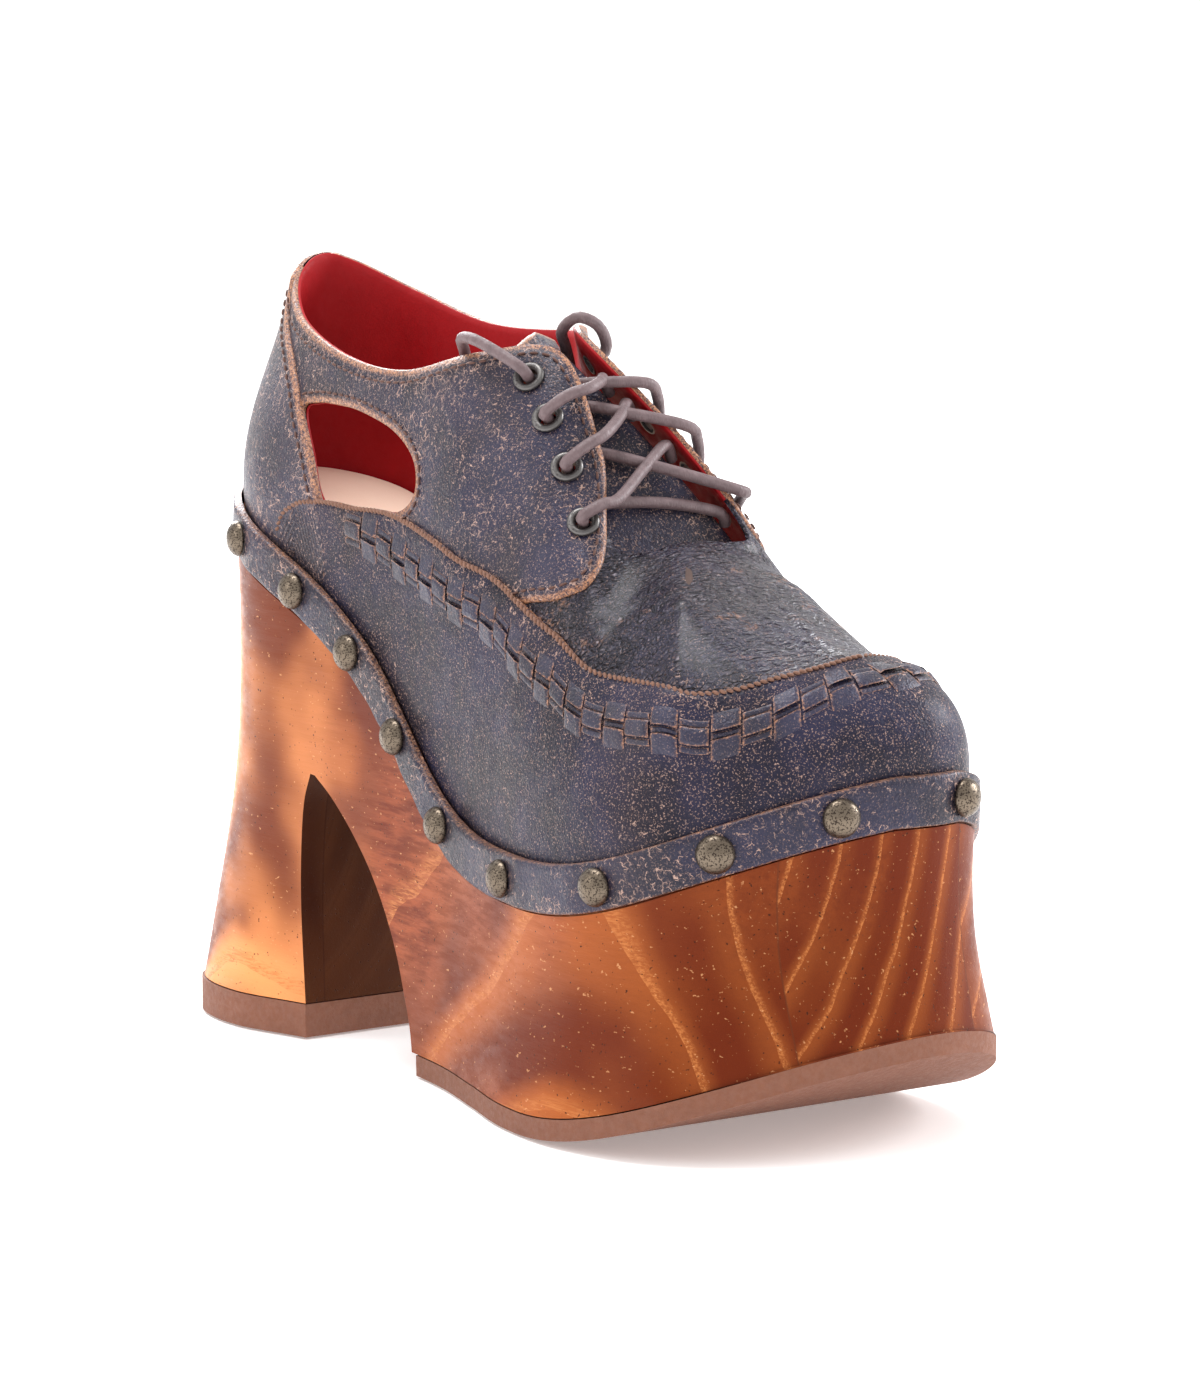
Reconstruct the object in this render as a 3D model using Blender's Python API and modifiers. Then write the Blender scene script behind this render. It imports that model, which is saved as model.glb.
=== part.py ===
"""Platform shoe, right foot, built as the separate pieces a maker would put together.

Millimetres are used for the named sizes; points are turned into metres when a mesh is made.
+X runs to the toe, +Y to the medial side, +Z up, with the floor at zero.
A station number runs once round the shoe: 0 heel back, 8 lateral ball, 12 toe tip, 23 heel back again.
"""

import math

import bmesh
import bpy
import numpy as np
from mathutils import Vector

MM = 0.001
COLLECTION = "platform_shoe"
FOOTPRINT_MIDDLE = (-2.8, -3.7, 0.0)

# Main heights and thicknesses
RAND_HEIGHT = 11.2
RAND_THICK = 2.0
GAP = 0.3
SEAT_DROP = 2.5
UPPER_WALL = 3.0
QUARTER_STEP = 0.9
VAMP_STEP = 1.7
INSOLE_THICK = 6.0
INSOLE_CLEAR = 0.5
FOOT_CLEAR = 0.9
OUTSOLE_THICK = 4.8
HEEL_LIFT_THICK = 8.0
LACE_DIAMETER = 2.7
STUD_DIAMETER = 8.7
STUD_HEIGHT = 2.9
EYELET_OUTER = 7.4
EYELET_HOLE = 4.0
EYELET_TOP = 1.1
LACE_LIFT = 0.8
LACE_SAG = -0.8
LACE_UNDER = 1.1
TONGUE_THICK = 2.6
TOE_SPRING = 18.0
SPRING_START = 50.0
SPRING_END = 116.0

# The studs sit a little below the middle of the rand
STUD_DROP = RAND_HEIGHT / 2 + 0.2
EYELET_TUBE = 4.9
TONGUE_CLEAR = 4.6
WOOD_LEVELS = (0.93, 0.75, 0.55, 0.38, 0.24, 0.12)

SOLE_LENGTH = 234.0
BALL_WIDTH = 90.5
ANKLE_HEIGHT = 184.0

# Sections round the shoe. Lengths are shares of the sole length, the ball width and the
# ankle height; handle shares shape the wall, the angle is its slope at the top edge.
SECTION_COLUMNS = ("sole_x", "sole_y", "top_x", "top_y", "top_z",
                   "low_handle", "bulge", "top_angle", "top_handle")
SECTIONS = (
    ("heel_back",        -0.504,  0.000, -0.449,  0.000, 1.000, 0.42, 3.0, 82, 0.35),
    ("heel_corner_lat",  -0.474, -0.199, -0.428, -0.105, 0.970, 0.42, 3.0, 82, 0.35),
    ("heel_side_lat",    -0.385, -0.331, -0.363, -0.194, 0.924, 0.42, 2.5, 80, 0.33),
    ("waist_rear_lat",   -0.256, -0.348, -0.252, -0.254, 0.888, 0.42, 2.0, 80, 0.32),
    ("waist_lat",        -0.128, -0.365, -0.137, -0.276, 0.879, 0.42, 2.0, 76, 0.30),
    ("waist_fore_lat",   -0.009, -0.403, -0.026, -0.254, 0.911, 0.42, 2.0, 62, 0.30),
    ("instep_lat",        0.094, -0.459,  0.049, -0.122, 0.916, 0.40, 2.0, 42, 0.28),
    ("ball_rear_lat",     0.192, -0.514,  0.124, -0.133, 0.799, 0.42, 2.5, 40, 0.33),
    ("ball_lat",          0.291, -0.530,  0.175, -0.182, 0.693, 0.45, 3.0, 34, 0.38),
    ("toe_side_lat",      0.385, -0.464,  0.205,  0.000, 0.698, 0.52, 3.5, 12, 0.48),
    ("toe_corner_lat",    0.453, -0.276,  0.299,  0.004, 0.626, 0.60, 3.5,  8, 0.52),
    ("toe_front_lat",     0.489, -0.055,  0.359,  0.017, 0.595, 0.66, 3.5,  8, 0.52),
    ("toe_tip",           0.500,  0.155,  0.380,  0.020, 0.590, 0.66, 3.5,  8, 0.52),
    ("toe_corner_med",    0.472,  0.326,  0.359,  0.017, 0.595, 0.66, 3.5,  8, 0.52),
    ("toe_side_med",      0.389,  0.431,  0.299,  0.004, 0.626, 0.58, 3.5, 10, 0.48),
    ("ball_med",          0.282,  0.470,  0.205,  0.000, 0.698, 0.52, 3.0, 14, 0.46),
    ("ball_rear_med",     0.179,  0.453,  0.192,  0.210, 0.693, 0.45, 2.5, 34, 0.40),
    ("instep_med",        0.073,  0.409,  0.132,  0.127, 0.804, 0.42, 2.0, 40, 0.33),
    ("waist_fore_med",   -0.047,  0.354,  0.034,  0.000, 0.932, 0.40, 2.0, 42, 0.28),
    ("waist_med",        -0.167,  0.315, -0.103,  0.254, 0.918, 0.42, 2.0, 72, 0.30),
    ("heel_side_med",    -0.291,  0.309, -0.265,  0.276, 0.916, 0.42, 2.0, 80, 0.30),
    ("heel_corner_med",  -0.415,  0.282, -0.382,  0.232, 0.954, 0.42, 2.5, 82, 0.33),
    ("heel_rear_med",    -0.483,  0.155, -0.440,  0.105, 0.995, 0.42, 3.0, 82, 0.35),
)
STATIONS = len(SECTIONS)
TOE = 12.0
THROAT = 9.0

# Height of the rand's top edge along the shoe
RAND_TOP_X = (-117.0, -80.0, -40.0, 0.0, 40.0, 80.0, 116.0)
RAND_TOP_Z = (129.7, 118.4, 99.1, 65.8, 59.5, 65.3, 82.1)

# Ridge of the closed vamp, from the throat to the toe
RIDGE_STEPS = (0.0, 1.0, 2.0, 3.0)
RIDGE_STEP_X = (48.0, 70.0, 84.0, 89.0)
RIDGE_X = (48.0, 60.0, 72.0, 84.0, 92.0)
RIDGE_Y = (0.0, 0.0, 0.5, 1.5, 2.0)
RIDGE_Z = (128.5, 120.5, 113.8, 109.4, 108.2)

# The wood's side flares out to the tread: share of the flare from the floor (0) to the rand (1)
FLARE_LEVEL = (0.0, 0.08, 0.2, 0.35, 0.5, 0.75, 1.0)
FLARE_SHARE = (1.0, 0.84, 0.62, 0.34, 0.12, -0.02, 0.04)
WOOD_INSET = 1.3
# Size of the flare round the shoe, by station
FLARE_STATION = (0.0, 1.0, 2.0, 2.75, 4.0, 5.0, 6.0, 7.0, 8.0, 10.0, 12.0, 13.0, 15.0, 16.5, 18.0,
                 19.0, 20.2, 21.0, 22.0, 23.0)
FLARE_SIZE = (11.0, 11.0, 4.4, -1.3, -0.4, 1.2, 3.8, 6.4, 7.4, 7.4, 6.0, 5.4, 5.6, 4.0, 1.4,
              -0.4, -1.3, 2.6, 8.0, 10.0)

# The arch between heel and forefoot, seen from the side, and the step up to the heel lift
ARCH_PROFILE = (
    (-160.0, -10.0), (-160.0, HEEL_LIFT_THICK + GAP), (-67.0, HEEL_LIFT_THICK + GAP),
    (-67.6, 30.0), (-67.0, 45.0), (-65.4, 57.0), (-62.4, 64.4),
    (-60.4, 64.2), (-53.0, 59.8), (-44.5, 53.0), (-36.5, 45.0), (-30.0, 36.6),
    (-24.6, 27.5), (-20.6, 18.0), (-17.4, 9.0), (-14.4, -10.0),
)

# Top edge of the mudguard: share of the wall's height at each lateral station
EDGE_STATION = (0.0, 1.5, 2.9, 3.48, 4.03, 4.73, 5.4, 6.18, 7.23, 8.08, 9.2, 9.58, 10.1, 11.45, 12.0)
EDGE_SHARE = (0.25, 0.25, 0.315, 0.425, 0.51, 0.525, 0.49, 0.465, 0.525, 0.55, 0.42, 0.455, 0.556, 0.80, 0.83)

# Medial station that lies opposite each lateral one
LATERAL_STATION = (0.0, 2.0, 3.0, 4.0, 5.0, 6.0, 7.0, 8.0, 12.0)
MEDIAL_STATION = (23.0, 21.0, 20.0, 19.25, 18.6, 18.0, 17.0, 16.0, 12.0)

# Grid columns that follow a seam: name, station at the mudguard's edge, station at the top,
# how the seam bends between them, and the columns from here to the next seam
SEAMS = (
    ("heel_centre", 0.0, 0.0, 1.0, 6),
    ("counter_front", 2.95, 0.9, 2.2, 13),
    ("quarter_front", 6.2, 8.0, 0.47, 3),
    ("throat_centre", 7.6, THROAT, 0.47, 11),
    ("toe_centre", TOE, TOE, 1.0, 0),
)
LOW_ROWS = 5
HIGH_ROWS = 7

# Side cut-out between counter and mudguard: lateral station and share of the wall's height
CUT_OUT = ((2.46, 0.66), (2.62, 0.725), (2.88, 0.77), (3.3, 0.806), (3.73, 0.80), (4.0, 0.775),
           (4.23, 0.73), (4.35, 0.675), (4.33, 0.60), (4.05, 0.515), (3.48, 0.418), (2.96, 0.325),
           (2.70, 0.50))

# Studs seen in the photo, by station, and how many more go round the far side
STUDS_SEEN = (1.86, 2.76, 3.55, 4.26, 5.04, 6.5, 8.2, 9.48, 10.68, 12.4)
STUDS_HIDDEN = 10

# Eyelets from the top down: station and share of the wall's height
EYELETS = {
    "lateral": ((5.75, 0.905), (6.17, 0.84), (6.62, 0.83), (7.1, 0.815)),
    "medial": ((18.02, 0.90), (17.45, 0.885), (17.1, 0.875), (16.72, 0.85)),
}
EYELET_CLEAR = 0.45
# Stations on the facing's edge where the lace crosses it, from the top down
THROAT_EDGE = {"lateral": (6.3, 6.5, 6.9, 7.5), "medial": (17.65, 17.45, 17.1, 16.5)}
# Bar of lace under the lowest eyelets
BAR_STATION = {"lateral": 7.4, "medial": 16.5}
BAR_RISE = 1.6

# Loose lace ends past the top eyelet: stations back, share of the wall's height, lift
LACE_END = ((0.25, 0.985, 2.8), (0.42, 1.035, 1.2), (0.52, 1.04, -2.4), (0.6, 1.0, -5.6),
            (0.68, 0.93, -5.5), (0.78, 0.8, -5.4), (0.85, 0.68, -5.4))

# Tongue sections from under the vamp up to the facing: station, lower share, crown
TONGUE = ((9.7, 0.80, 0.0), (9.2, 0.78, 0.0), (8.5, 0.78, 0.6), (7.9, 0.80, 1.0), (7.3, 0.78, 1.0),
          (6.7, 0.78, 0.8), (6.1, 0.80, 0.6))
# Free end of the tongue: run back, rise, and how much of its crown is left
TONGUE_TOP = ((-7.0, 6.5, 0.75), (-14.0, 13.0, 0.55))


def metres(point):
    """Point in metres from the middle of the finished shoe's footprint."""
    return tuple((float(c) - o) * MM for c, o in zip(point, FOOTPRINT_MIDDLE))


def clear_scene():
    for old in list(bpy.data.objects):
        bpy.data.objects.remove(old, do_unlink=True)


def smooth_value(knots, values, x):
    """Value of a smooth curve through the knots, held level beyond its ends."""
    knots = np.asarray(knots, float)
    values = np.asarray(values, float)
    x = np.clip(np.asarray(x, float), knots[0], knots[-1])
    slopes = np.gradient(values, knots, edge_order=2)
    i = np.clip(np.searchsorted(knots, x, side="right") - 1, 0, len(knots) - 2)
    width = knots[i + 1] - knots[i]
    s = (x - knots[i]) / width
    value = (2 * s**3 - 3 * s**2 + 1) * values[i]
    value += (s**3 - 2 * s**2 + s) * width * slopes[i]
    value += (-2 * s**3 + 3 * s**2) * values[i + 1]
    value += (s**3 - s**2) * width * slopes[i + 1]
    return value


def section_table():
    """Section rows, each share turned into millimetres of the size that it belongs to."""
    sizes = {"sole_x": SOLE_LENGTH, "sole_y": BALL_WIDTH, "top_x": SOLE_LENGTH, "top_y": BALL_WIDTH,
             "top_z": ANKLE_HEIGHT}
    scale = [sizes.get(column, 1.0) for column in SECTION_COLUMNS]
    return np.array([row[1:] for row in SECTIONS]) * np.array(scale)


TABLE = section_table()


def section(station):
    """Section row at any station, by a smooth closed curve through the table."""
    station = np.atleast_1d(np.asarray(station, float))
    i = np.floor(station).astype(int)
    s = (station - i)[:, None]
    a, b, c, d = (TABLE[(i + k) % STATIONS] for k in (-1, 0, 1, 2))
    return 0.5 * (2 * b + (c - a) * s + (2 * a - 5 * b + 4 * c - d) * s**2 + (3 * b - a - 3 * c + d) * s**3)


def outward(station):
    """Level direction pointing out of the sole's outline."""
    ahead = section(np.asarray(station) + 0.001)[:, :2]
    behind = section(np.asarray(station) - 0.001)[:, :2]
    run = ahead - behind
    normal = np.column_stack([run[:, 1], -run[:, 0]])
    return normal / np.linalg.norm(normal, axis=1)[:, None]


def outline(station, out=0.0):
    """Outline of the rand's outer face, moved outward by a distance."""
    return section(station)[:, :2] + outward(station) * np.reshape(out, (-1, 1))


def rand_top(x):
    return smooth_value(RAND_TOP_X, RAND_TOP_Z, x)


def sole_bottom(x):
    """Height of the tread: flat, then rising to the toe."""
    rise = np.clip((np.asarray(x, float) - SPRING_START) / (SPRING_END - SPRING_START), 0, None)
    return TOE_SPRING * rise**2


def top_points(station, rows):
    """Top edge of the wall; on the closed vamp it is the ridge."""
    top = rows[:, 2:5].copy()
    turn = np.asarray(station, float) % STATIONS
    closed = (turn >= THROAT) & (turn <= 2 * TOE - THROAT)
    ridge_x = smooth_value(RIDGE_STEPS, RIDGE_STEP_X, (TOE - THROAT) - np.abs(turn - TOE))
    top[closed, 0] = ridge_x[closed]
    top[closed, 1] = smooth_value(RIDGE_X, RIDGE_Y, ridge_x[closed])
    top[closed, 2] = smooth_value(RIDGE_X, RIDGE_Z, ridge_x[closed])
    return top


def last_surface(station, share):
    """Outer face of the finished upper: from the sole (share 0) to the top edge (share 1)."""
    station = np.atleast_1d(np.asarray(station, float))
    v = np.atleast_1d(np.asarray(share, float))[:, None]
    rows = section(station)
    foot_xy = outline(station, -RAND_THICK - FOOT_CLEAR)
    foot = np.column_stack([foot_xy, rand_top(foot_xy[:, 0]) - SEAT_DROP])
    top = top_points(station, rows)
    out = np.column_stack([outward(station), np.zeros(len(station))])
    up = np.array([0.0, 0.0, 1.0])
    rise = (top[:, 2] - foot[:, 2])[:, None]
    level = (foot - top) * (1, 1, 0)
    width = np.linalg.norm(level, axis=1)[:, None]
    level = level / np.maximum(width, 1e-6)
    low = foot + up * rise * rows[:, 5:6] + out * rows[:, 6:7]
    angle = np.radians(rows[:, 7:8])
    reach = rows[:, 8:9] * np.hypot(width, rise)
    high = top + (level * np.cos(angle) - up * np.sin(angle)) * reach
    return (1 - v)**3 * foot + 3 * (1 - v)**2 * v * low + 3 * (1 - v) * v**2 * high + v**3 * top


def last_normal(station, share):
    """Direction out of the upper's surface."""
    station = np.atleast_1d(np.asarray(station, float))
    v = np.clip(np.atleast_1d(np.asarray(share, float)), 0.01, 0.985)
    along = last_surface(station + 0.02, v) - last_surface(station - 0.02, v)
    rising = last_surface(station, v + 0.01) - last_surface(station, v - 0.01)
    normal = np.cross(along, rising)
    return normal / np.linalg.norm(normal, axis=1)[:, None]


def medial(station):
    """Medial station opposite a lateral one."""
    return np.interp(station, LATERAL_STATION, MEDIAL_STATION)


def on_side(station, side):
    return station if side == "lateral" else medial(station)


def edge_share(station):
    return smooth_value(EDGE_STATION, EDGE_SHARE, station)


def make_material(name, colour, roughness=0.6, metallic=0.0):
    material = bpy.data.materials.new(name)
    material.use_nodes = True
    shader = material.node_tree.nodes["Principled BSDF"]
    shader.inputs["Base Color"].default_value = (*colour, 1.0)
    shader.inputs["Roughness"].default_value = roughness
    shader.inputs["Metallic"].default_value = metallic
    return material


def add_object(name, points, faces, material, collection):
    """Mesh object from points in millimetres."""
    mesh = bpy.data.meshes.new(name)
    mesh.from_pydata([metres(p) for p in points], [], faces)
    mesh.validate()
    work = bmesh.new()
    work.from_mesh(mesh)
    bmesh.ops.recalc_face_normals(work, faces=work.faces)
    work.to_mesh(mesh)
    work.free()
    obj = bpy.data.objects.new(name, mesh)
    mesh.materials.append(material)
    collection.objects.link(obj)
    return obj


def cut(obj, cutter):
    """Take the cutter's volume out of the object."""
    step = obj.modifiers.new("cut", "BOOLEAN")
    step.operation = "DIFFERENCE"
    step.solver = "EXACT"
    step.object = cutter
    cutter.hide_render = True
    cutter.display_type = "WIRE"


# Footprint shared by the flat pieces

SPAN_COLUMNS = 40
SPAN_ACROSS = 4


def wood_out(station, level):
    """How far the wood stands out of the rand's face, at a level from tread (0) to rand (1)."""
    size = smooth_value(FLARE_STATION, FLARE_SIZE, station)
    return size * smooth_value(FLARE_LEVEL, FLARE_SHARE, level) - WOOD_INSET


def footprint(out, shares):
    """Grid inside the outline: columns heel to toe, each from lateral to medial.

    The distance out is a number, or a function of the station."""
    sides = []
    for stations in (shares * TOE, STATIONS - shares * (STATIONS - TOE)):
        sides.append(outline(stations, out(stations) if callable(out) else out))
    lateral_side, medial_side = sides
    steps = np.linspace(0, 1, SPAN_ACROSS + 1)[None, :, None]
    return lateral_side[:, None, :] * (1 - steps) + medial_side[:, None, :] * steps


def rim_stations(shares):
    """Station of each point round a footprint: lateral side, toe, medial side."""
    medial_side = STATIONS - shares * (STATIONS - TOE)
    return np.concatenate([shares * TOE, medial_side[-2:0:-1]])


def slab_mesh(low_grid, high_grid, low_height, high_height, rings=()):
    """Closed body between two footprint grids, its side drawn through rings from top to bottom."""
    columns, across = low_grid.shape[0] - 1, low_grid.shape[1] - 1
    levels = ((low_grid, low_height), (high_grid, high_height))
    points, faces, place = [], [], {}

    def vertex(level, i, j):
        j = 0 if i in (0, columns) else j
        key = (level, i, j)
        if key not in place:
            grid, height = levels[level]
            place[key] = len(points)
            points.append((*grid[i, j], height(grid[i, j, 0])))
        return place[key]

    def rim(level):
        lateral_side = [vertex(level, i, 0) for i in range(columns + 1)]
        return lateral_side + [vertex(level, i, across) for i in range(columns - 1, 0, -1)]

    for level in (0, 1):
        for i in range(columns):
            for j in range(across):
                corners = [vertex(level, i, j), vertex(level, i + 1, j),
                           vertex(level, i + 1, j + 1), vertex(level, i, j + 1)]
                faces.append(list(dict.fromkeys(corners)))
    loops = [rim(1)]
    for ring in rings:
        loops.append(list(range(len(points), len(points) + len(ring))))
        points.extend(ring)
    loops.append(rim(0))
    for above, below in zip(loops[:-1], loops[1:]):
        for k in range(len(above)):
            n = (k + 1) % len(above)
            faces.append([above[k], above[n], below[n], below[k]])
    return points, faces


def prism(name, side_points, start_y, end_y, material, collection):
    """Straight prism across the shoe from an outline seen from the side."""
    count = len(side_points)
    points = [(x, start_y, z) for x, z in side_points] + [(x, end_y, z) for x, z in side_points]
    faces = [list(range(count)), list(range(2 * count - 1, count - 1, -1))]
    faces += [[k, (k + 1) % count, count + (k + 1) % count, count + k] for k in range(count)]
    return add_object(name, points, faces, material, collection)


def wood_base(x):
    return sole_bottom(x) + OUTSOLE_THICK + GAP


def wood_seat(x):
    return rand_top(x) - SEAT_DROP - GAP


def tread_out(station):
    return wood_out(station, 0.0)


def build_platform(material, collection, guides):
    shares = np.linspace(0, 1, SPAN_COLUMNS + 1)
    stations = rim_stations(shares)
    rim = outline(stations)
    under_rand = rand_top(rim[:, 0]) - RAND_HEIGHT
    base = wood_base(rim[:, 0])
    rings = [np.column_stack([outline(stations, -RAND_THICK - GAP), under_rand - 1.0])]
    for level in WOOD_LEVELS:
        place = outline(stations, wood_out(stations, level))
        rings.append(np.column_stack([place, base + level * (under_rand - base)]))
    points, faces = slab_mesh(footprint(tread_out, shares), footprint(-RAND_THICK - GAP, shares),
                              wood_base, wood_seat, rings)
    block = add_object("platform", points, faces, material, collection)
    cut(block, prism("arch_cutter", ARCH_PROFILE, -90.0, 90.0, material, guides))
    return block


def build_insole(material, collection):
    shares = np.linspace(0, 1, SPAN_COLUMNS + 1)
    grid = footprint(-RAND_THICK - FOOT_CLEAR - UPPER_WALL - INSOLE_CLEAR, shares)
    points, faces = slab_mesh(grid, grid, lambda x: rand_top(x) - SEAT_DROP + 0.1,
                              lambda x: rand_top(x) - SEAT_DROP + INSOLE_THICK)
    return add_object("insole", points, faces, material, collection)


def build_outsole(material, collection, guides):
    """Forefoot tread, cut off square behind the arch."""
    shares = np.linspace(0.36, 1, 33)
    grid_low = footprint(tread_out, shares)
    points, faces = open_slab(grid_low, sole_bottom, lambda x: sole_bottom(x) + OUTSOLE_THICK)
    sole = add_object("outsole_forefoot", points, faces, material, collection)
    back = ((-160.0, -20.0), (-160.0, 40.0), (ARCH_PROFILE[-2][0] + 1.2, 40.0),
            (ARCH_PROFILE[-1][0] + 1.2, -20.0))
    cut(sole, prism("outsole_cutter", back, -90.0, 90.0, material, guides))
    return sole


def build_heel_lift(material, collection, guides):
    shares = np.linspace(0, 0.36, 17)
    grid = footprint(tread_out, shares)
    points, faces = open_slab(grid, lambda x: 0.0 * x, lambda x: HEEL_LIFT_THICK + 0.0 * x)
    lift = add_object("heel_lift", points, faces, material, collection)
    front = ((-67.2, -20.0), (-67.2, 40.0), (60.0, 40.0), (60.0, -20.0))
    cut(lift, prism("heel_lift_cutter", front, -90.0, 90.0, material, guides))
    return lift


def open_slab(grid, low_height, high_height):
    """Closed slab over part of a footprint, straight across where it is not at the heel or toe."""
    columns, across = grid.shape[0] - 1, grid.shape[1] - 1
    points, faces, place = [], [], {}

    def vertex(level, i, j):
        pinched = np.allclose(grid[i, 0], grid[i, across])
        key = (level, i, 0 if pinched else j)
        if key not in place:
            height = (low_height, high_height)[level]
            place[key] = len(points)
            points.append((*grid[i, j], float(height(grid[i, j, 0]))))
        return place[key]

    def add_face(corners):
        corners = list(dict.fromkeys(corners))
        if len(corners) > 2:
            faces.append(corners)

    for i in range(columns):
        for j in range(across):
            for level in (0, 1):
                add_face([vertex(level, i, j), vertex(level, i + 1, j),
                          vertex(level, i + 1, j + 1), vertex(level, i, j + 1)])
        for j in (0, across):
            add_face([vertex(0, i, j), vertex(0, i + 1, j), vertex(1, i + 1, j), vertex(1, i, j)])
    for i in (0, columns):
        for j in range(across):
            add_face([vertex(0, i, j), vertex(0, i, j + 1), vertex(1, i, j + 1), vertex(1, i, j)])
    return points, faces


def build_rand(material, collection):
    """Strip nailed round the top of the wood."""
    count = 92
    stations = np.arange(count) * STATIONS / count
    outer, inner = outline(stations), outline(stations, -RAND_THICK)
    high = rand_top(outer[:, 0])
    rows = (np.column_stack([inner, high]), np.column_stack([outer, high]),
            np.column_stack([outer, high - RAND_HEIGHT]), np.column_stack([inner, high - RAND_HEIGHT]))
    points = np.concatenate(rows)
    faces = []
    for row in range(4):
        for k in range(count):
            n, after = (k + 1) % count, (row + 1) % 4
            faces.append([row * count + k, row * count + n, after * count + n, after * count + k])
    return add_object("rand", points, faces, material, collection)


def build_studs(material, collection):
    """Domed nails, evenly spaced round the rand; the near ones sit where the photo shows them."""
    profile = ((0.0, STUD_HEIGHT), (0.55, 0.86 * STUD_HEIGHT), (0.88, 0.5 * STUD_HEIGHT), (1.0, 0.0),
               (0.0, 0.0))
    mesh = turned_mesh("stud", profile, STUD_DIAMETER / 2, 10)
    mesh.materials.append(material)
    for number, station in enumerate(stud_stations(), start=1):
        direction = outward(station)[0]
        edge = outline(station, GAP)[0]
        height = float(rand_top(outline(station)[0, 0])) - STUD_DROP
        place_mesh(f"stud_{number:02d}", mesh, (*edge, height), (*direction, 0.0), collection)


def stud_stations():
    """The photo's studs, then the hidden ones spaced evenly over the rest of the rim."""
    fine = np.linspace(0, 2 * STATIONS, 4601)
    path = outline(fine)
    path = np.column_stack([path, rand_top(path[:, 0])])
    walked = np.concatenate([[0], np.cumsum(np.linalg.norm(np.diff(path, axis=0), axis=1))])
    start, end = np.interp((STUDS_SEEN[-1], STATIONS + STUDS_SEEN[0]), fine, walked)
    hidden = np.linspace(start, end, STUDS_HIDDEN + 2)[1:-1]
    return list(STUDS_SEEN) + list(np.interp(hidden, walked, fine))


def turned_mesh(name, profile, radius, sides):
    """Body turned about its own Z axis; profile radii are shares of the radius."""
    points, faces, rings = [], [], []
    for share, height in profile:
        if share == 0:
            rings.append([len(points)] * sides)
            points.append((0.0, 0.0, height))
            continue
        rings.append(list(range(len(points), len(points) + sides)))
        for k in range(sides):
            turn = 2 * math.pi * k / sides
            points.append((share * radius * math.cos(turn), share * radius * math.sin(turn), height))
    closed = profile[0][0] > 0
    pairs = list(zip(rings[:-1], rings[1:])) + ([(rings[-1], rings[0])] if closed else [])
    for above, below in pairs:
        for k in range(sides):
            n = (k + 1) % sides
            corners = list(dict.fromkeys([above[k], above[n], below[n], below[k]]))
            if len(corners) > 2:
                faces.append(corners)
    mesh = bpy.data.meshes.new(name)
    mesh.from_pydata([tuple(c * MM for c in p) for p in points], [], faces)
    work = bmesh.new()
    work.from_mesh(mesh)
    bmesh.ops.recalc_face_normals(work, faces=work.faces)
    work.to_mesh(mesh)
    work.free()
    return mesh


def place_mesh(name, mesh, place, direction, collection):
    obj = bpy.data.objects.new(name, mesh)
    obj.location = metres(place)
    obj.rotation_mode = "QUATERNION"
    obj.rotation_quaternion = Vector(direction).to_track_quat("Z", "Y")
    collection.objects.link(obj)
    return obj


# Upper: one leather wall with steps where the panels lie over each other

def seam_knots(rise):
    """Lateral stations of the seams at a share of the height between mudguard edge and top."""
    return [low + (high - low) * rise**bend for _, low, high, bend, _ in SEAMS]


def column_station(column, rise):
    """Lateral station of a grid column."""
    starts = np.cumsum([0] + [seam[4] for seam in SEAMS[:-1]])
    return float(np.interp(column, starts, seam_knots(rise)))


def cell_level(column, row):
    """Depth of the outer face below the finished surface, for a lateral grid cell."""
    counter, quarter = SEAMS[0][4], SEAMS[0][4] + SEAMS[1][4]
    if row < LOW_ROWS or column < counter:
        return 0.0
    return QUARTER_STEP if column < quarter else VAMP_STEP


def grid_place(column, row, half_columns):
    """Station and height share of a grid point; columns beyond the toe are medial."""
    lateral_column = min(column, 2 * half_columns - column)
    side = "lateral" if column <= half_columns else "medial"
    rise = max(0.0, (row - LOW_ROWS) / HIGH_ROWS)**1.4
    low_station = column_station(lateral_column, 0.0)
    edge = float(edge_share(low_station))
    if row <= LOW_ROWS:
        return on_side(low_station, side), edge * row / LOW_ROWS
    return on_side(column_station(lateral_column, rise), side), edge + (1 - edge) * rise


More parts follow.
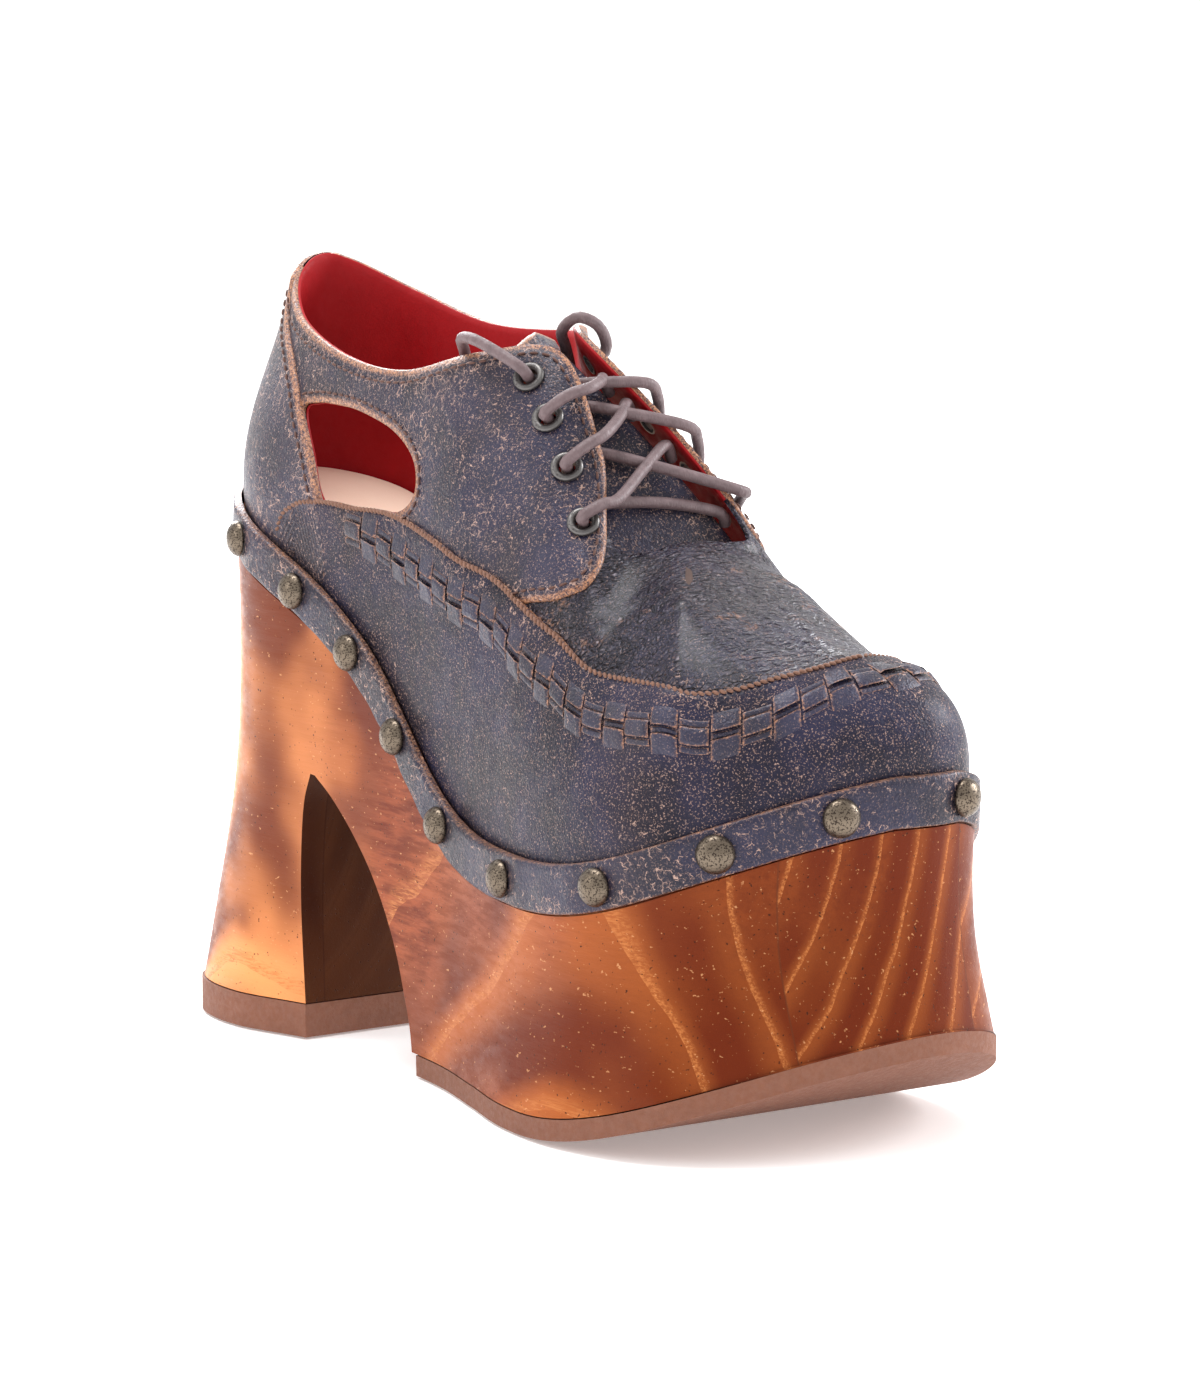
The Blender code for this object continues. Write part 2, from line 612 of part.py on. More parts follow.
def upper_mesh():
    """Closed wall: stepped outer face, smooth lining face, and the rims between them."""
    half = sum(seam[4] for seam in SEAMS)
    columns, rows = 2 * half, LOW_ROWS + HIGH_ROWS
    throat = half - SEAMS[3][4]
    points, faces, place = [], [], {}

    def cell_depth(column, row):
        column %= columns
        return cell_level(min(column, columns - 1 - column), row)

    def shared(column, row):
        """Both sides use the lateral point on the ridge."""
        column %= columns
        if row == rows and throat <= column <= columns - throat:
            return min(column, columns - column)
        return column

    def vertex(column, row, depth):
        column = shared(column, row)
        key = (column, row, depth)
        if key not in place:
            station, share = grid_place(column, row, half)
            point = last_surface(station, share)[0]
            normal = last_normal(station, share)[0]
            if row == rows and throat <= column <= half:
                normal = normal + last_normal(medial(station), share)[0]
                normal /= np.linalg.norm(normal)
            place[key] = len(points)
            points.append(point - normal * depth)
        return place[key]

    def depths(column, row):
        """Depths met at a grid point, from the outer face to the lining."""
        near = {cell_depth(c, r) for c in (column - 1, column) for r in (row - 1, row) if 0 <= r < rows}
        if row == rows and throat <= column % columns <= columns - throat:
            other = columns - column
            near |= {cell_depth(c, rows - 1) for c in (other - 1, other)}
        return sorted(near) + [UPPER_WALL]

    def chain(column, row, start, end):
        """Vertices through the wall's thickness from one depth to another."""
        steps = [d for d in depths(column, row) if min(start, end) <= d <= max(start, end)]
        if start > end:
            steps.reverse()
        return [vertex(column, row, d) for d in steps]

    def wall(first, second, start, end):
        """Face across the thickness between two neighbouring grid points."""
        corners = chain(*first, start, end) + chain(*second, end, start)
        corners = list(dict.fromkeys(corners))
        if len(corners) > 2:
            faces.append(corners)

    for column in range(columns):
        for row in range(rows):
            square = [(column, row), (column + 1, row), (column + 1, row + 1), (column, row + 1)]
            for depth in (cell_depth(column, row), UPPER_WALL):
                corners = list(dict.fromkeys(vertex(c, r, depth) for c, r in square))
                if len(corners) > 2:
                    faces.append(corners)
            here = cell_depth(column, row)
            if row + 1 < rows and here != cell_depth(column, row + 1):
                wall(square[2], square[3], here, cell_depth(column, row + 1))
            if here != cell_depth(column + 1, row):
                wall(square[1], square[2], here, cell_depth(column + 1, row))
        wall((column, 0), (column + 1, 0), cell_depth(column, 0), UPPER_WALL)
        if not throat <= column < columns - throat:
            wall((column, rows), (column + 1, rows), cell_depth(column, rows - 1), UPPER_WALL)
    return points, faces


def cut_out_cutter(side, material, collection):
    """Prism through the quarter where the side opening is."""
    stations = np.array([on_side(station, side) for station, _ in CUT_OUT])
    face = last_surface(stations, [share for _, share in CUT_OUT])
    near, far = (-48.0, -12.0) if side == "lateral" else (48.0, 12.0)
    return prism(f"cut_out_{side}", [(x, z) for x, _, z in face], near, far, material, collection)


def eyelet_places():
    """Centre and direction of each eyelet on the quarters' outer face."""
    places = {}
    for side in ("lateral", "medial"):
        for number, (at, share) in enumerate(EYELETS[side], start=1):
            normal = last_normal(at, share)[0]
            places[side, number] = (last_surface(at, share)[0] - normal * QUARTER_STEP, normal)
    return places


def build_upper(material, collection, guides):
    points, faces = upper_mesh()
    upper = add_object("upper", points, faces, material, collection)
    for side in ("lateral", "medial"):
        cut(upper, cut_out_cutter(side, material, guides))
    seat, bore = EYELET_OUTER / 2 + GAP, EYELET_TUBE / 2 + GAP
    pressed = EYELET_CLEAR - GAP
    profile = ((0.0, 6.0), (seat, 6.0), (seat, pressed), (bore, pressed), (bore, -6.0), (0.0, -6.0))
    hole = turned_mesh("eyelet_hole", profile, 1.0, 12)
    hole.materials.append(material)
    for (side, number), (centre, normal) in eyelet_places().items():
        cut(upper, place_mesh(f"hole_{side}_{number}", hole, centre, normal, guides))
    return upper


def build_eyelets(material, collection):
    """Ring on the leather with a short tube down its hole."""
    outer, tube, bore = EYELET_OUTER / 2, EYELET_TUBE / 2, EYELET_HOLE / 2
    foot = -UPPER_WALL + QUARTER_STEP
    profile = ((bore, 0.9), (0.75 * outer, EYELET_TOP), (outer, 0.6), (outer, EYELET_CLEAR),
               (tube, EYELET_CLEAR), (tube, foot), (bore, foot))
    mesh = turned_mesh("eyelet", profile, 1.0, 12)
    mesh.materials.append(material)
    for (side, number), (centre, normal) in eyelet_places().items():
        place_mesh(f"eyelet_{side}_{number}", mesh, centre, normal, collection)


def tongue_rows():
    """Tongue's outer face: a row of points across for each section."""
    rows = []
    for station, low, crown in TONGUE:
        row = []
        for side in ("lateral", "medial"):
            at = on_side(station, side)
            shares = np.array([low, 0.5 * (low + 0.985), 0.985])
            where = np.full(3, float(at))
            face = last_surface(where, shares) - last_normal(where, shares) * (UPPER_WALL + TONGUE_CLEAR)
            row.append(face if side == "lateral" else face[::-1])
        middle = 0.5 * (row[0][-1] + row[1][0]) + np.array([0.35, 0.0, 0.94]) * crown
        rows.append(np.vstack([row[0], middle, row[1]]))
    last = rows[-1]
    for run, rise, flatter in TONGUE_TOP:
        level = last[:, 2].mean()
        row = last + np.array([run, 0.0, rise])
        row[:, 2] = level + rise + (last[:, 2] - level) * flatter
        rows.append(row)
    return rows


def build_tongue(material, collection):
    rows = tongue_rows()
    across = len(rows[0])
    points = np.vstack(rows)
    faces = [[r * across + c, r * across + c + 1, (r + 1) * across + c + 1, (r + 1) * across + c]
             for r in range(len(rows) - 1) for c in range(across - 1)]
    tongue = add_object("tongue", points, faces, material, collection)
    face_up(tongue)
    shell = tongue.modifiers.new("thickness", "SOLIDIFY")
    shell.thickness = TONGUE_THICK * MM
    shell.offset = -1.0
    return tongue


# Laces

def above(station, share, height):
    """Point over the upper's finished surface; a negative height is under it."""
    return last_surface(station, share)[0] + last_normal(station, share)[0] * height


def strand_route(side, number):
    """From over one eyelet, across the throat, to under the other facing."""
    other = "medial" if side == "lateral" else "lateral"
    station, share = EYELETS[side][number - 1]
    here, there = THROAT_EDGE[side][number - 1], THROAT_EDGE[other][number - 2]
    over = EYELET_TOP + LACE_DIAMETER / 2 + GAP - QUARTER_STEP
    under = -UPPER_WALL - LACE_DIAMETER / 2 - LACE_UNDER
    start = above(station, share, over)
    rise = above(0.5 * (station + here), 0.5 * (share + 1.0), over + LACE_LIFT)
    edge = above(here, 1.0, over + LACE_LIFT)
    gap = 0.5 * (above(here, 1.0, LACE_SAG) + above(there, 1.0, LACE_SAG))
    return [start, rise, edge, gap, above(there, 1.0, under), above(there, 0.94, under)]


def smooth_route(corners, spacing):
    """Points at even spacing along a smooth curve through the corners."""
    corners = np.asarray(corners, float)
    ends = np.vstack([2 * corners[0] - corners[1], corners, 2 * corners[-1] - corners[-2]])
    fine = []
    for k in range(1, len(ends) - 2):
        a, b, c, d = ends[k - 1:k + 3]
        for s in np.linspace(0, 1, 24, endpoint=False):
            fine.append(0.5 * (2 * b + (c - a) * s + (2 * a - 5 * b + 4 * c - d) * s**2
                               + (3 * b - a - 3 * c + d) * s**3))
    fine.append(corners[-1])
    fine = np.array(fine)
    walked = np.concatenate([[0], np.cumsum(np.linalg.norm(np.diff(fine, axis=0), axis=1))])
    count = max(2, round(walked[-1] / spacing))
    wanted = np.linspace(0, walked[-1], count + 1)
    return np.column_stack([np.interp(wanted, walked, fine[:, k]) for k in range(3)])


def add_tube(name, route, diameter, material, collection):
    """Round cord along a route."""
    curve = bpy.data.curves.new(name, "CURVE")
    curve.dimensions = "3D"
    curve.bevel_depth = diameter / 2 * MM
    curve.bevel_resolution = 2
    curve.use_fill_caps = True
    spline = curve.splines.new("POLY")
    spline.points.add(len(route) - 1)
    for point, place in zip(spline.points, route):
        point.co = (*metres(place), 1.0)
    curve.materials.append(material)
    obj = bpy.data.objects.new(name, curve)
    collection.objects.link(obj)
    return obj


def as_mesh(obj, name, collection):
    """Mesh object made from a curve object, which is then removed."""
    graph = bpy.context.evaluated_depsgraph_get()
    mesh = bpy.data.meshes.new_from_object(obj.evaluated_get(graph))
    bpy.data.objects.remove(obj, do_unlink=True)
    solid = bpy.data.objects.new(name, mesh)
    collection.objects.link(solid)
    return solid


def build_laces(material, collection, guides):
    """Three crossings and the bar under them, each crossing joined where its strands meet."""
    for number in (2, 3, 4):
        strands = []
        for side in ("lateral", "medial"):
            route = smooth_route(strand_route(side, number), 3.0)
            tube = add_tube(f"strand_{side}_{number}", route, LACE_DIAMETER, material, collection)
            bpy.context.view_layer.update()
            target = collection if side == "lateral" else guides
            strands.append(as_mesh(tube, f"lace_crossing_{number - 1}" if side == "lateral"
                                   else f"strand_{number}", target))
        join = strands[0].modifiers.new("join", "BOOLEAN")
        join.operation = "UNION"
        join.solver = "EXACT"
        join.object = strands[1]
        strands[1].hide_render = True
        strands[1].display_type = "WIRE"
    under = -UPPER_WALL - LACE_DIAMETER / 2 - LACE_UNDER
    near = [above(BAR_STATION["lateral"], share, under) for share in (0.93, 0.985)]
    far = [above(BAR_STATION["medial"], share, under) for share in (0.985, 0.93)]
    middle = 0.5 * (near[1] + far[0]) + np.array([0.35, 0.0, 0.94]) * BAR_RISE
    add_tube("lace_bar", smooth_route(near + [middle] + far, 4.0), LACE_DIAMETER, material, collection)


def lace_end_route(side):
    """From the top eyelet over the collar's edge and down inside."""
    station, share = EYELETS[side][0]
    back = -1.0 if side == "lateral" else 1.0
    over = EYELET_TOP + LACE_DIAMETER / 2 + GAP - QUARTER_STEP
    start = above(station, share, over)
    rest = [above(station + back * run, height, lift) for run, height, lift in LACE_END]
    return smooth_route([start] + rest, 6.0)


def build_lace_ends(material, collection):
    for side in ("lateral", "medial"):
        add_tube(f"lace_end_{side}", lace_end_route(side), LACE_DIAMETER, material, collection)


def face_up(obj):
    """Turn an open sheet so that its normals point up."""
    work = bmesh.new()
    work.from_mesh(obj.data)
    work.faces.ensure_lookup_table()
    if sum(face.normal.z * face.calc_area() for face in work.faces) < 0:
        bmesh.ops.reverse_faces(work, faces=work.faces)
    work.to_mesh(obj.data)
    work.free()


def main():
    clear_scene()
    collection = bpy.data.collections.new(COLLECTION)
    guides = bpy.data.collections.new("guides")
    bpy.context.scene.collection.children.link(collection)
    bpy.context.scene.collection.children.link(guides)
    wood = make_material("stained_wood", (0.45, 0.16, 0.05), 0.45)
    rubber = make_material("brown_rubber", (0.12, 0.06, 0.045), 0.8)
    leather = make_material("worn_leather", (0.03, 0.03, 0.04), 0.5)
    plug = make_material("tongue_leather", (0.03, 0.03, 0.035), 0.45)
    strip = make_material("rand_leather", (0.035, 0.035, 0.045), 0.5)
    bed = make_material("insole_leather", (0.75, 0.5, 0.38), 0.6)
    brass = make_material("antique_brass", (0.28, 0.22, 0.12), 0.45, 1.0)
    dark_metal = make_material("dark_metal", (0.08, 0.07, 0.06), 0.45, 1.0)
    cord = make_material("waxed_cord", (0.1, 0.07, 0.06), 0.6)
    build_platform(wood, collection, guides)
    build_outsole(rubber, collection, guides)
    build_heel_lift(rubber, collection, guides)
    build_insole(bed, collection)
    build_rand(strip, collection)
    build_studs(brass, collection)
    build_upper(leather, collection, guides)
    build_tongue(plug, collection)
    build_eyelets(dark_metal, collection)
    build_laces(cord, collection, guides)
    build_lace_ends(cord, collection)
    bpy.context.view_layer.update()


main()
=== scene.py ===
"""Platform shoe, right foot: leather, wood, rubber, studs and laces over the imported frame.

Named sizes are millimetres. A place on the upper is a station and a share of the wall's height:
stations run once round the shoe, 0 heel back, 8 lateral ball, 12 toe tip, 23 heel back again.
"""

import math

import bmesh
import bpy
import numpy as np
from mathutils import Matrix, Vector
from mathutils.geometry import delaunay_2d_cdt
from mathutils.kdtree import KDTree

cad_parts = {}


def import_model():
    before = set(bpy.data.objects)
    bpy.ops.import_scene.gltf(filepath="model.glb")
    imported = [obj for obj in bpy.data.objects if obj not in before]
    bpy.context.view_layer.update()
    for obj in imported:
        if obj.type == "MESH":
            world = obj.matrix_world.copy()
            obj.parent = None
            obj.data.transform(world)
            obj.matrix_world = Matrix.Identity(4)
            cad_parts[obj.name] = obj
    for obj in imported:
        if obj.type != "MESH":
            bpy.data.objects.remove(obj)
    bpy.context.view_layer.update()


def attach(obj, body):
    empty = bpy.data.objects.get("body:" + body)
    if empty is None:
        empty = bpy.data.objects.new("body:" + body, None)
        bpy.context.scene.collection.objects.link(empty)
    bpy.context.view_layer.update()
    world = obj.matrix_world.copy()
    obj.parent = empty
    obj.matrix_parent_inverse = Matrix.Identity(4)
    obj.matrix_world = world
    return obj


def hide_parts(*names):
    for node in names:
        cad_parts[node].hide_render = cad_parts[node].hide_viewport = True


MM = 0.001
FOOTPRINT_MIDDLE = (-2.8, -3.7, 0.0)

# Main heights and thicknesses
RAND_HEIGHT = 11.2
RAND_THICK = 2.0
GAP = 0.3
SEAT_DROP = 2.5
UPPER_WALL = 3.0
LINING_THICK = 0.8
QUARTER_STEP = 0.9
VAMP_STEP = 1.7
INSOLE_THICK = 6.0
INSOLE_CLEAR = 0.5
FOOT_CLEAR = 0.9
OUTSOLE_THICK = 4.8
HEEL_LIFT_THICK = 8.0
LACE_DIAMETER = 2.7
STUD_DIAMETER = 8.7
STUD_HEIGHT = 2.9
STUD_DROP = 5.8
EYELET_OUTER = 7.4
EYELET_HOLE = 4.0
EYELET_TOP = 1.1
EYELET_TUBE = 4.9
LACE_LIFT = {"lateral": (0.8, 0.8), "medial": (0.4, -0.4)}
LACE_SAG = -0.8
LACE_UNDER = 1.1
TONGUE_THICK = 2.6
TONGUE_CLEAR = 4.6
TOE_SPRING = 18.0
SPRING_START = 50.0
SPRING_END = 116.0

SOLE_LENGTH = 234.0
BALL_WIDTH = 90.5
ANKLE_HEIGHT = 184.0

# Sections round the shoe, as shares of the sole length, the ball width and the ankle height:
# sole x and y, top x, y and z, lower handle, bulge, slope at the top edge and its handle
SECTIONS = (
    ("heel_back",        -0.504,  0.000, -0.449,  0.000, 1.000, 0.42, 3.0, 82, 0.35),
    ("heel_corner_lat",  -0.474, -0.199, -0.428, -0.105, 0.970, 0.42, 3.0, 82, 0.35),
    ("heel_side_lat",    -0.385, -0.331, -0.363, -0.194, 0.924, 0.42, 2.5, 80, 0.33),
    ("waist_rear_lat",   -0.256, -0.348, -0.252, -0.254, 0.888, 0.42, 2.0, 80, 0.32),
    ("waist_lat",        -0.128, -0.365, -0.137, -0.276, 0.879, 0.42, 2.0, 76, 0.30),
    ("waist_fore_lat",   -0.009, -0.403, -0.026, -0.254, 0.911, 0.42, 2.0, 62, 0.30),
    ("instep_lat",        0.094, -0.459,  0.049, -0.122, 0.916, 0.40, 2.0, 42, 0.28),
    ("ball_rear_lat",     0.192, -0.514,  0.124, -0.133, 0.799, 0.42, 2.5, 40, 0.33),
    ("ball_lat",          0.291, -0.530,  0.175, -0.182, 0.693, 0.45, 3.0, 34, 0.38),
    ("toe_side_lat",      0.385, -0.464,  0.205,  0.000, 0.698, 0.52, 3.5, 12, 0.48),
    ("toe_corner_lat",    0.453, -0.276,  0.299,  0.004, 0.626, 0.60, 3.5,  8, 0.52),
    ("toe_front_lat",     0.489, -0.055,  0.359,  0.017, 0.595, 0.66, 3.5,  8, 0.52),
    ("toe_tip",           0.500,  0.155,  0.380,  0.020, 0.590, 0.66, 3.5,  8, 0.52),
    ("toe_corner_med",    0.472,  0.326,  0.359,  0.017, 0.595, 0.66, 3.5,  8, 0.52),
    ("toe_side_med",      0.389,  0.431,  0.299,  0.004, 0.626, 0.58, 3.5, 10, 0.48),
    ("ball_med",          0.282,  0.470,  0.205,  0.000, 0.698, 0.52, 3.0, 14, 0.46),
    ("ball_rear_med",     0.179,  0.453,  0.192,  0.210, 0.693, 0.45, 2.5, 34, 0.40),
    ("instep_med",        0.073,  0.409,  0.132,  0.127, 0.804, 0.42, 2.0, 40, 0.33),
    ("waist_fore_med",   -0.047,  0.354,  0.034,  0.000, 0.932, 0.40, 2.0, 42, 0.28),
    ("waist_med",        -0.167,  0.315, -0.103,  0.254, 0.918, 0.42, 2.0, 72, 0.30),
    ("heel_side_med",    -0.291,  0.309, -0.265,  0.276, 0.916, 0.42, 2.0, 80, 0.30),
    ("heel_corner_med",  -0.415,  0.282, -0.382,  0.232, 0.954, 0.42, 2.5, 82, 0.33),
    ("heel_rear_med",    -0.483,  0.155, -0.440,  0.105, 0.995, 0.42, 3.0, 82, 0.35),
)
STATIONS = len(SECTIONS)
TOE = 12.0
THROAT = 9.0
SIDES = ("lateral", "medial")
RIDGE_UP = np.array([0.35, 0.0, 0.94])

# A stitch: its sides, and its rings as shares of its length and its radius
STITCH_SIDES = 6
STITCH_RINGS = ((0.0, 0.25), (0.18, 0.85), (0.5, 1.0), (0.82, 0.85), (1.0, 0.25))

RAND_TOP_X = (-117.0, -80.0, -40.0, 0.0, 40.0, 80.0, 116.0)
RAND_TOP_Z = (129.7, 118.4, 99.1, 65.8, 59.5, 65.3, 82.1)

RIDGE_STEPS = (0.0, 1.0, 2.0, 3.0)
RIDGE_STEP_X = (48.0, 70.0, 84.0, 89.0)
RIDGE_X = (48.0, 60.0, 72.0, 84.0, 92.0)
RIDGE_Y = (0.0, 0.0, 0.5, 1.5, 2.0)
RIDGE_Z = (128.5, 120.5, 113.8, 109.4, 108.2)

# Flare of the wood, from the tread (0) to the rand (1), and its size round the shoe
FLARE_LEVEL = (0.0, 0.08, 0.2, 0.35, 0.5, 0.75, 1.0)
FLARE_SHARE = (1.0, 0.84, 0.62, 0.34, 0.12, -0.02, 0.04)
WOOD_INSET = 1.3
FLARE_STATION = (0.0, 1.0, 2.0, 2.75, 4.0, 5.0, 6.0, 7.0, 8.0, 10.0, 12.0, 13.0, 15.0, 16.5, 18.0,
                 19.0, 20.2, 21.0, 22.0, 23.0)
FLARE_SIZE = (11.0, 11.0, 4.4, -1.3, -0.4, 1.2, 3.8, 6.4, 7.4, 7.4, 6.0, 5.4, 5.6, 4.0, 1.4,
              -0.4, -1.3, 2.6, 8.0, 10.0)
ARCH_PROFILE = (
    (-160.0, -10.0), (-160.0, HEEL_LIFT_THICK + GAP), (-67.0, HEEL_LIFT_THICK + GAP),
    (-67.6, 30.0), (-67.0, 45.0), (-65.4, 57.0), (-62.4, 64.4),
    (-60.4, 64.2), (-53.0, 59.8), (-44.5, 53.0), (-36.5, 45.0), (-30.0, 36.6),
    (-24.6, 27.5), (-20.6, 18.0), (-17.4, 9.0), (-14.4, -10.0),
)

# Top edge of the mudguard and the middle of its woven band, by lateral station
EDGE_STATION = (2.38, 2.45, 2.62, 2.9, 3.48, 4.03, 4.73, 5.4, 6.18, 7.23, 8.08, 9.2, 9.58, 10.1, 11.45,
                12.0)
EDGE_SHARE = (0.02, 0.13, 0.24, 0.325, 0.425, 0.51, 0.525, 0.49, 0.465, 0.525, 0.55, 0.42, 0.455, 0.556,
              0.80, 0.83)
BAND_STATION = (3.4, 4.0, 4.75, 5.48, 6.28, 7.43, 8.15, 8.8, 9.33, 9.88, 11.0, 12.0)
BAND_SHARE = (0.335, 0.394, 0.425, 0.406, 0.381, 0.413, 0.40, 0.32, 0.29, 0.345, 0.575, 0.64)

LATERAL_STATION = (0.0, 2.0, 3.0, 4.0, 5.0, 6.0, 7.0, 8.0, 12.0)
MEDIAL_STATION = (23.0, 21.0, 20.0, 19.25, 18.6, 18.0, 17.0, 16.0, 12.0)

# Front edge of the heel counter and front edge of the quarters: lateral station by share
COUNTER_SHARE = (0.0, 0.31, 0.344, 0.513, 0.65, 0.769, 0.863, 0.906, 1.0)
COUNTER_STATION = (3.05, 3.0, 2.95, 2.73, 2.48, 2.23, 1.83, 1.43, 0.9)
QUARTER_SHARE = (0.40, 0.444, 0.55, 0.70, 0.838, 0.963, 1.0)
QUARTER_STATION = (5.9, 6.2, 6.8, 7.38, 7.7, 7.9, 8.0)
QUARTER_CORNER = ((7.74, 0.87), (7.77, 0.92), (7.72, 0.965), (7.6, 0.99), (7.4, 1.0))

CUT_OUT = ((2.46, 0.66), (2.62, 0.725), (2.88, 0.77), (3.3, 0.806), (3.73, 0.80), (4.0, 0.775),
           (4.23, 0.73), (4.35, 0.675), (4.33, 0.60), (4.05, 0.515), (3.48, 0.418), (2.96, 0.325),
           (2.70, 0.50))

STUDS_SEEN = (1.86, 2.76, 3.55, 4.26, 5.04, 6.5, 8.2, 9.48, 10.68, 12.4)
STUDS_HIDDEN = 10

EYELETS = {
    "lateral": ((5.75, 0.905), (6.17, 0.84), (6.62, 0.83), (7.1, 0.815)),
    "medial": ((18.02, 0.90), (17.45, 0.885), (17.1, 0.875), (16.72, 0.85)),
}
THROAT_EDGE = {"lateral": (6.3, 6.5, 6.9, 7.5), "medial": (17.65, 17.45, 17.1, 16.5)}
BAR_STATION = {"lateral": 7.4, "medial": 16.5}
BAR_RISE = 1.6
LACE_END = ((0.25, 0.985, 2.8), (0.42, 1.035, 1.2), (0.52, 1.04, -2.4), (0.6, 1.0, -5.6),
            (0.68, 0.93, -5.5), (0.78, 0.8, -5.4), (0.85, 0.68, -5.4))
TONGUE = ((9.7, 0.80, 0.0), (9.2, 0.78, 0.0), (8.5, 0.78, 0.6), (7.9, 0.80, 1.0), (7.3, 0.78, 1.0),
          (6.7, 0.78, 0.8), (6.1, 0.80, 0.6))
TONGUE_TOP = ((-7.0, 7.0, 0.45), (-14.0, 12.0, 0.2))

# Camera: turn and height angle, distance, point looked at, and lens on a 36 mm sensor
CAMERA_TURN = 37.0
CAMERA_RISE = 7.8
CAMERA_DISTANCE = 1448.0
CAMERA_AIM = (-72.0, 68.7, 74.7)
CAMERA_LENS = 152.2


def metres(points):
    """Points in metres from the middle of the finished shoe's footprint."""
    return (np.asarray(points, float) - np.array(FOOTPRINT_MIDDLE)) * MM


def catmull(a, b, c, d, s):
    """Point between b and c on the smooth curve through four rows."""
    return 0.5 * (2 * b + (c - a) * s + (2 * a - 5 * b + 4 * c - d) * s**2 + (3 * b - a - 3 * c + d) * s**3)


def smooth_value(knots, values, x):
    """Value of a smooth curve through the knots, held level beyond its ends."""
    knots = np.asarray(knots, float)
    values = np.asarray(values, float)
    x = np.clip(np.asarray(x, float), knots[0], knots[-1])
    slopes = np.gradient(values, knots, edge_order=2)
    i = np.clip(np.searchsorted(knots, x, side="right") - 1, 0, len(knots) - 2)
    width = knots[i + 1] - knots[i]
    s = (x - knots[i]) / width
    value = (2 * s**3 - 3 * s**2 + 1) * values[i]
    value += (s**3 - 2 * s**2 + s) * width * slopes[i]
    value += (-2 * s**3 + 3 * s**2) * values[i + 1]
    value += (s**3 - s**2) * width * slopes[i + 1]
    return value


def section_table():
    scale = (SOLE_LENGTH, BALL_WIDTH, SOLE_LENGTH, BALL_WIDTH, ANKLE_HEIGHT, 1, 1, 1, 1)
    return np.array([row[1:] for row in SECTIONS]) * np.array(scale)


TABLE = section_table()


def columns(*parts):
    """Parts side by side as columns; a single number fills its column."""
    return np.column_stack(np.broadcast_arrays(*parts))


def section(station):
    """Section row at any station, by a smooth closed curve through the table."""
    station = np.atleast_1d(np.asarray(station, float))
    i = np.floor(station).astype(int)
    a, b, c, d = (TABLE[(i + k) % STATIONS] for k in (-1, 0, 1, 2))
    return catmull(a, b, c, d, (station - i)[:, None])


def unit(rows):
    return rows / np.linalg.norm(rows, axis=1)[:, None]


def outward(station):
    """Level direction pointing out of the sole's outline."""
    ahead = section(np.asarray(station) + 0.001)[:, :2]
    behind = section(np.asarray(station) - 0.001)[:, :2]
    run = ahead - behind
    return unit(columns(run[:, 1], -run[:, 0]))


def outline(station, out=0.0):
    """Outline of the rand's outer face, moved outward by a distance."""
    return section(station)[:, :2] + outward(station) * np.reshape(out, (-1, 1))


def rand_top(x):
    return smooth_value(RAND_TOP_X, RAND_TOP_Z, x)


def sole_bottom(x):
    """Height of the tread: flat, then rising to the toe."""
    rise = np.clip((np.asarray(x, float) - SPRING_START) / (SPRING_END - SPRING_START), 0, None)
    return TOE_SPRING * rise**2


def top_points(station, rows):
    """Top edge of the wall; on the closed vamp it is the ridge."""
    top = rows[:, 2:5].copy()
    turn = np.asarray(station, float) % STATIONS
    closed = (turn >= THROAT) & (turn <= 2 * TOE - THROAT)
    ridge_x = smooth_value(RIDGE_STEPS, RIDGE_STEP_X, (TOE - THROAT) - np.abs(turn - TOE))
    top[closed, 0] = ridge_x[closed]
    top[closed, 1] = smooth_value(RIDGE_X, RIDGE_Y, ridge_x[closed])
    top[closed, 2] = smooth_value(RIDGE_X, RIDGE_Z, ridge_x[closed])
    return top


def last_surface(station, share):
    """Outer face of the finished upper: from the sole (share 0) to the top edge (share 1)."""
    station = np.atleast_1d(np.asarray(station, float))
    v = np.broadcast_to(np.asarray(share, float), station.shape)[:, None]
    rows = section(station)
    foot_xy = outline(station, -RAND_THICK - FOOT_CLEAR)
    foot = np.column_stack([foot_xy, rand_top(foot_xy[:, 0]) - SEAT_DROP])
    top = top_points(station, rows)
    out = np.column_stack([outward(station), np.zeros(len(station))])
    up = np.array([0.0, 0.0, 1.0])
    rise = (top[:, 2] - foot[:, 2])[:, None]
    level = (foot - top) * (1, 1, 0)
    width = np.linalg.norm(level, axis=1)[:, None]
    level = level / np.maximum(width, 1e-6)
    low = foot + up * rise * rows[:, 5:6] + out * rows[:, 6:7]
    angle = np.radians(rows[:, 7:8])
    reach = rows[:, 8:9] * np.hypot(width, rise)
    high = top + (level * np.cos(angle) - up * np.sin(angle)) * reach
    return (1 - v)**3 * foot + 3 * (1 - v)**2 * v * low + 3 * (1 - v) * v**2 * high + v**3 * top


def last_normal(station, share):
    """Direction out of the upper's surface."""
    station = np.atleast_1d(np.asarray(station, float))
    v = np.clip(np.broadcast_to(np.asarray(share, float), station.shape), 0.01, 0.985)
    along = last_surface(station + 0.02, v) - last_surface(station - 0.02, v)
    rising = last_surface(station, v + 0.01) - last_surface(station, v - 0.01)
    return unit(np.cross(along, rising))


def on_last(line):
    """Points of the finished upper for rows of station and share."""
    line = np.asarray(line, float)
    return last_surface(line[:, 0], line[:, 1])


def medial(station):
    """Medial station opposite a lateral one."""
    return np.interp(station, LATERAL_STATION, MEDIAL_STATION)


def on_side(station, side):
    return np.asarray(station, float) if side == "lateral" else medial(station)


def edge_share(station):
    return smooth_value(EDGE_STATION, EDGE_SHARE, station)


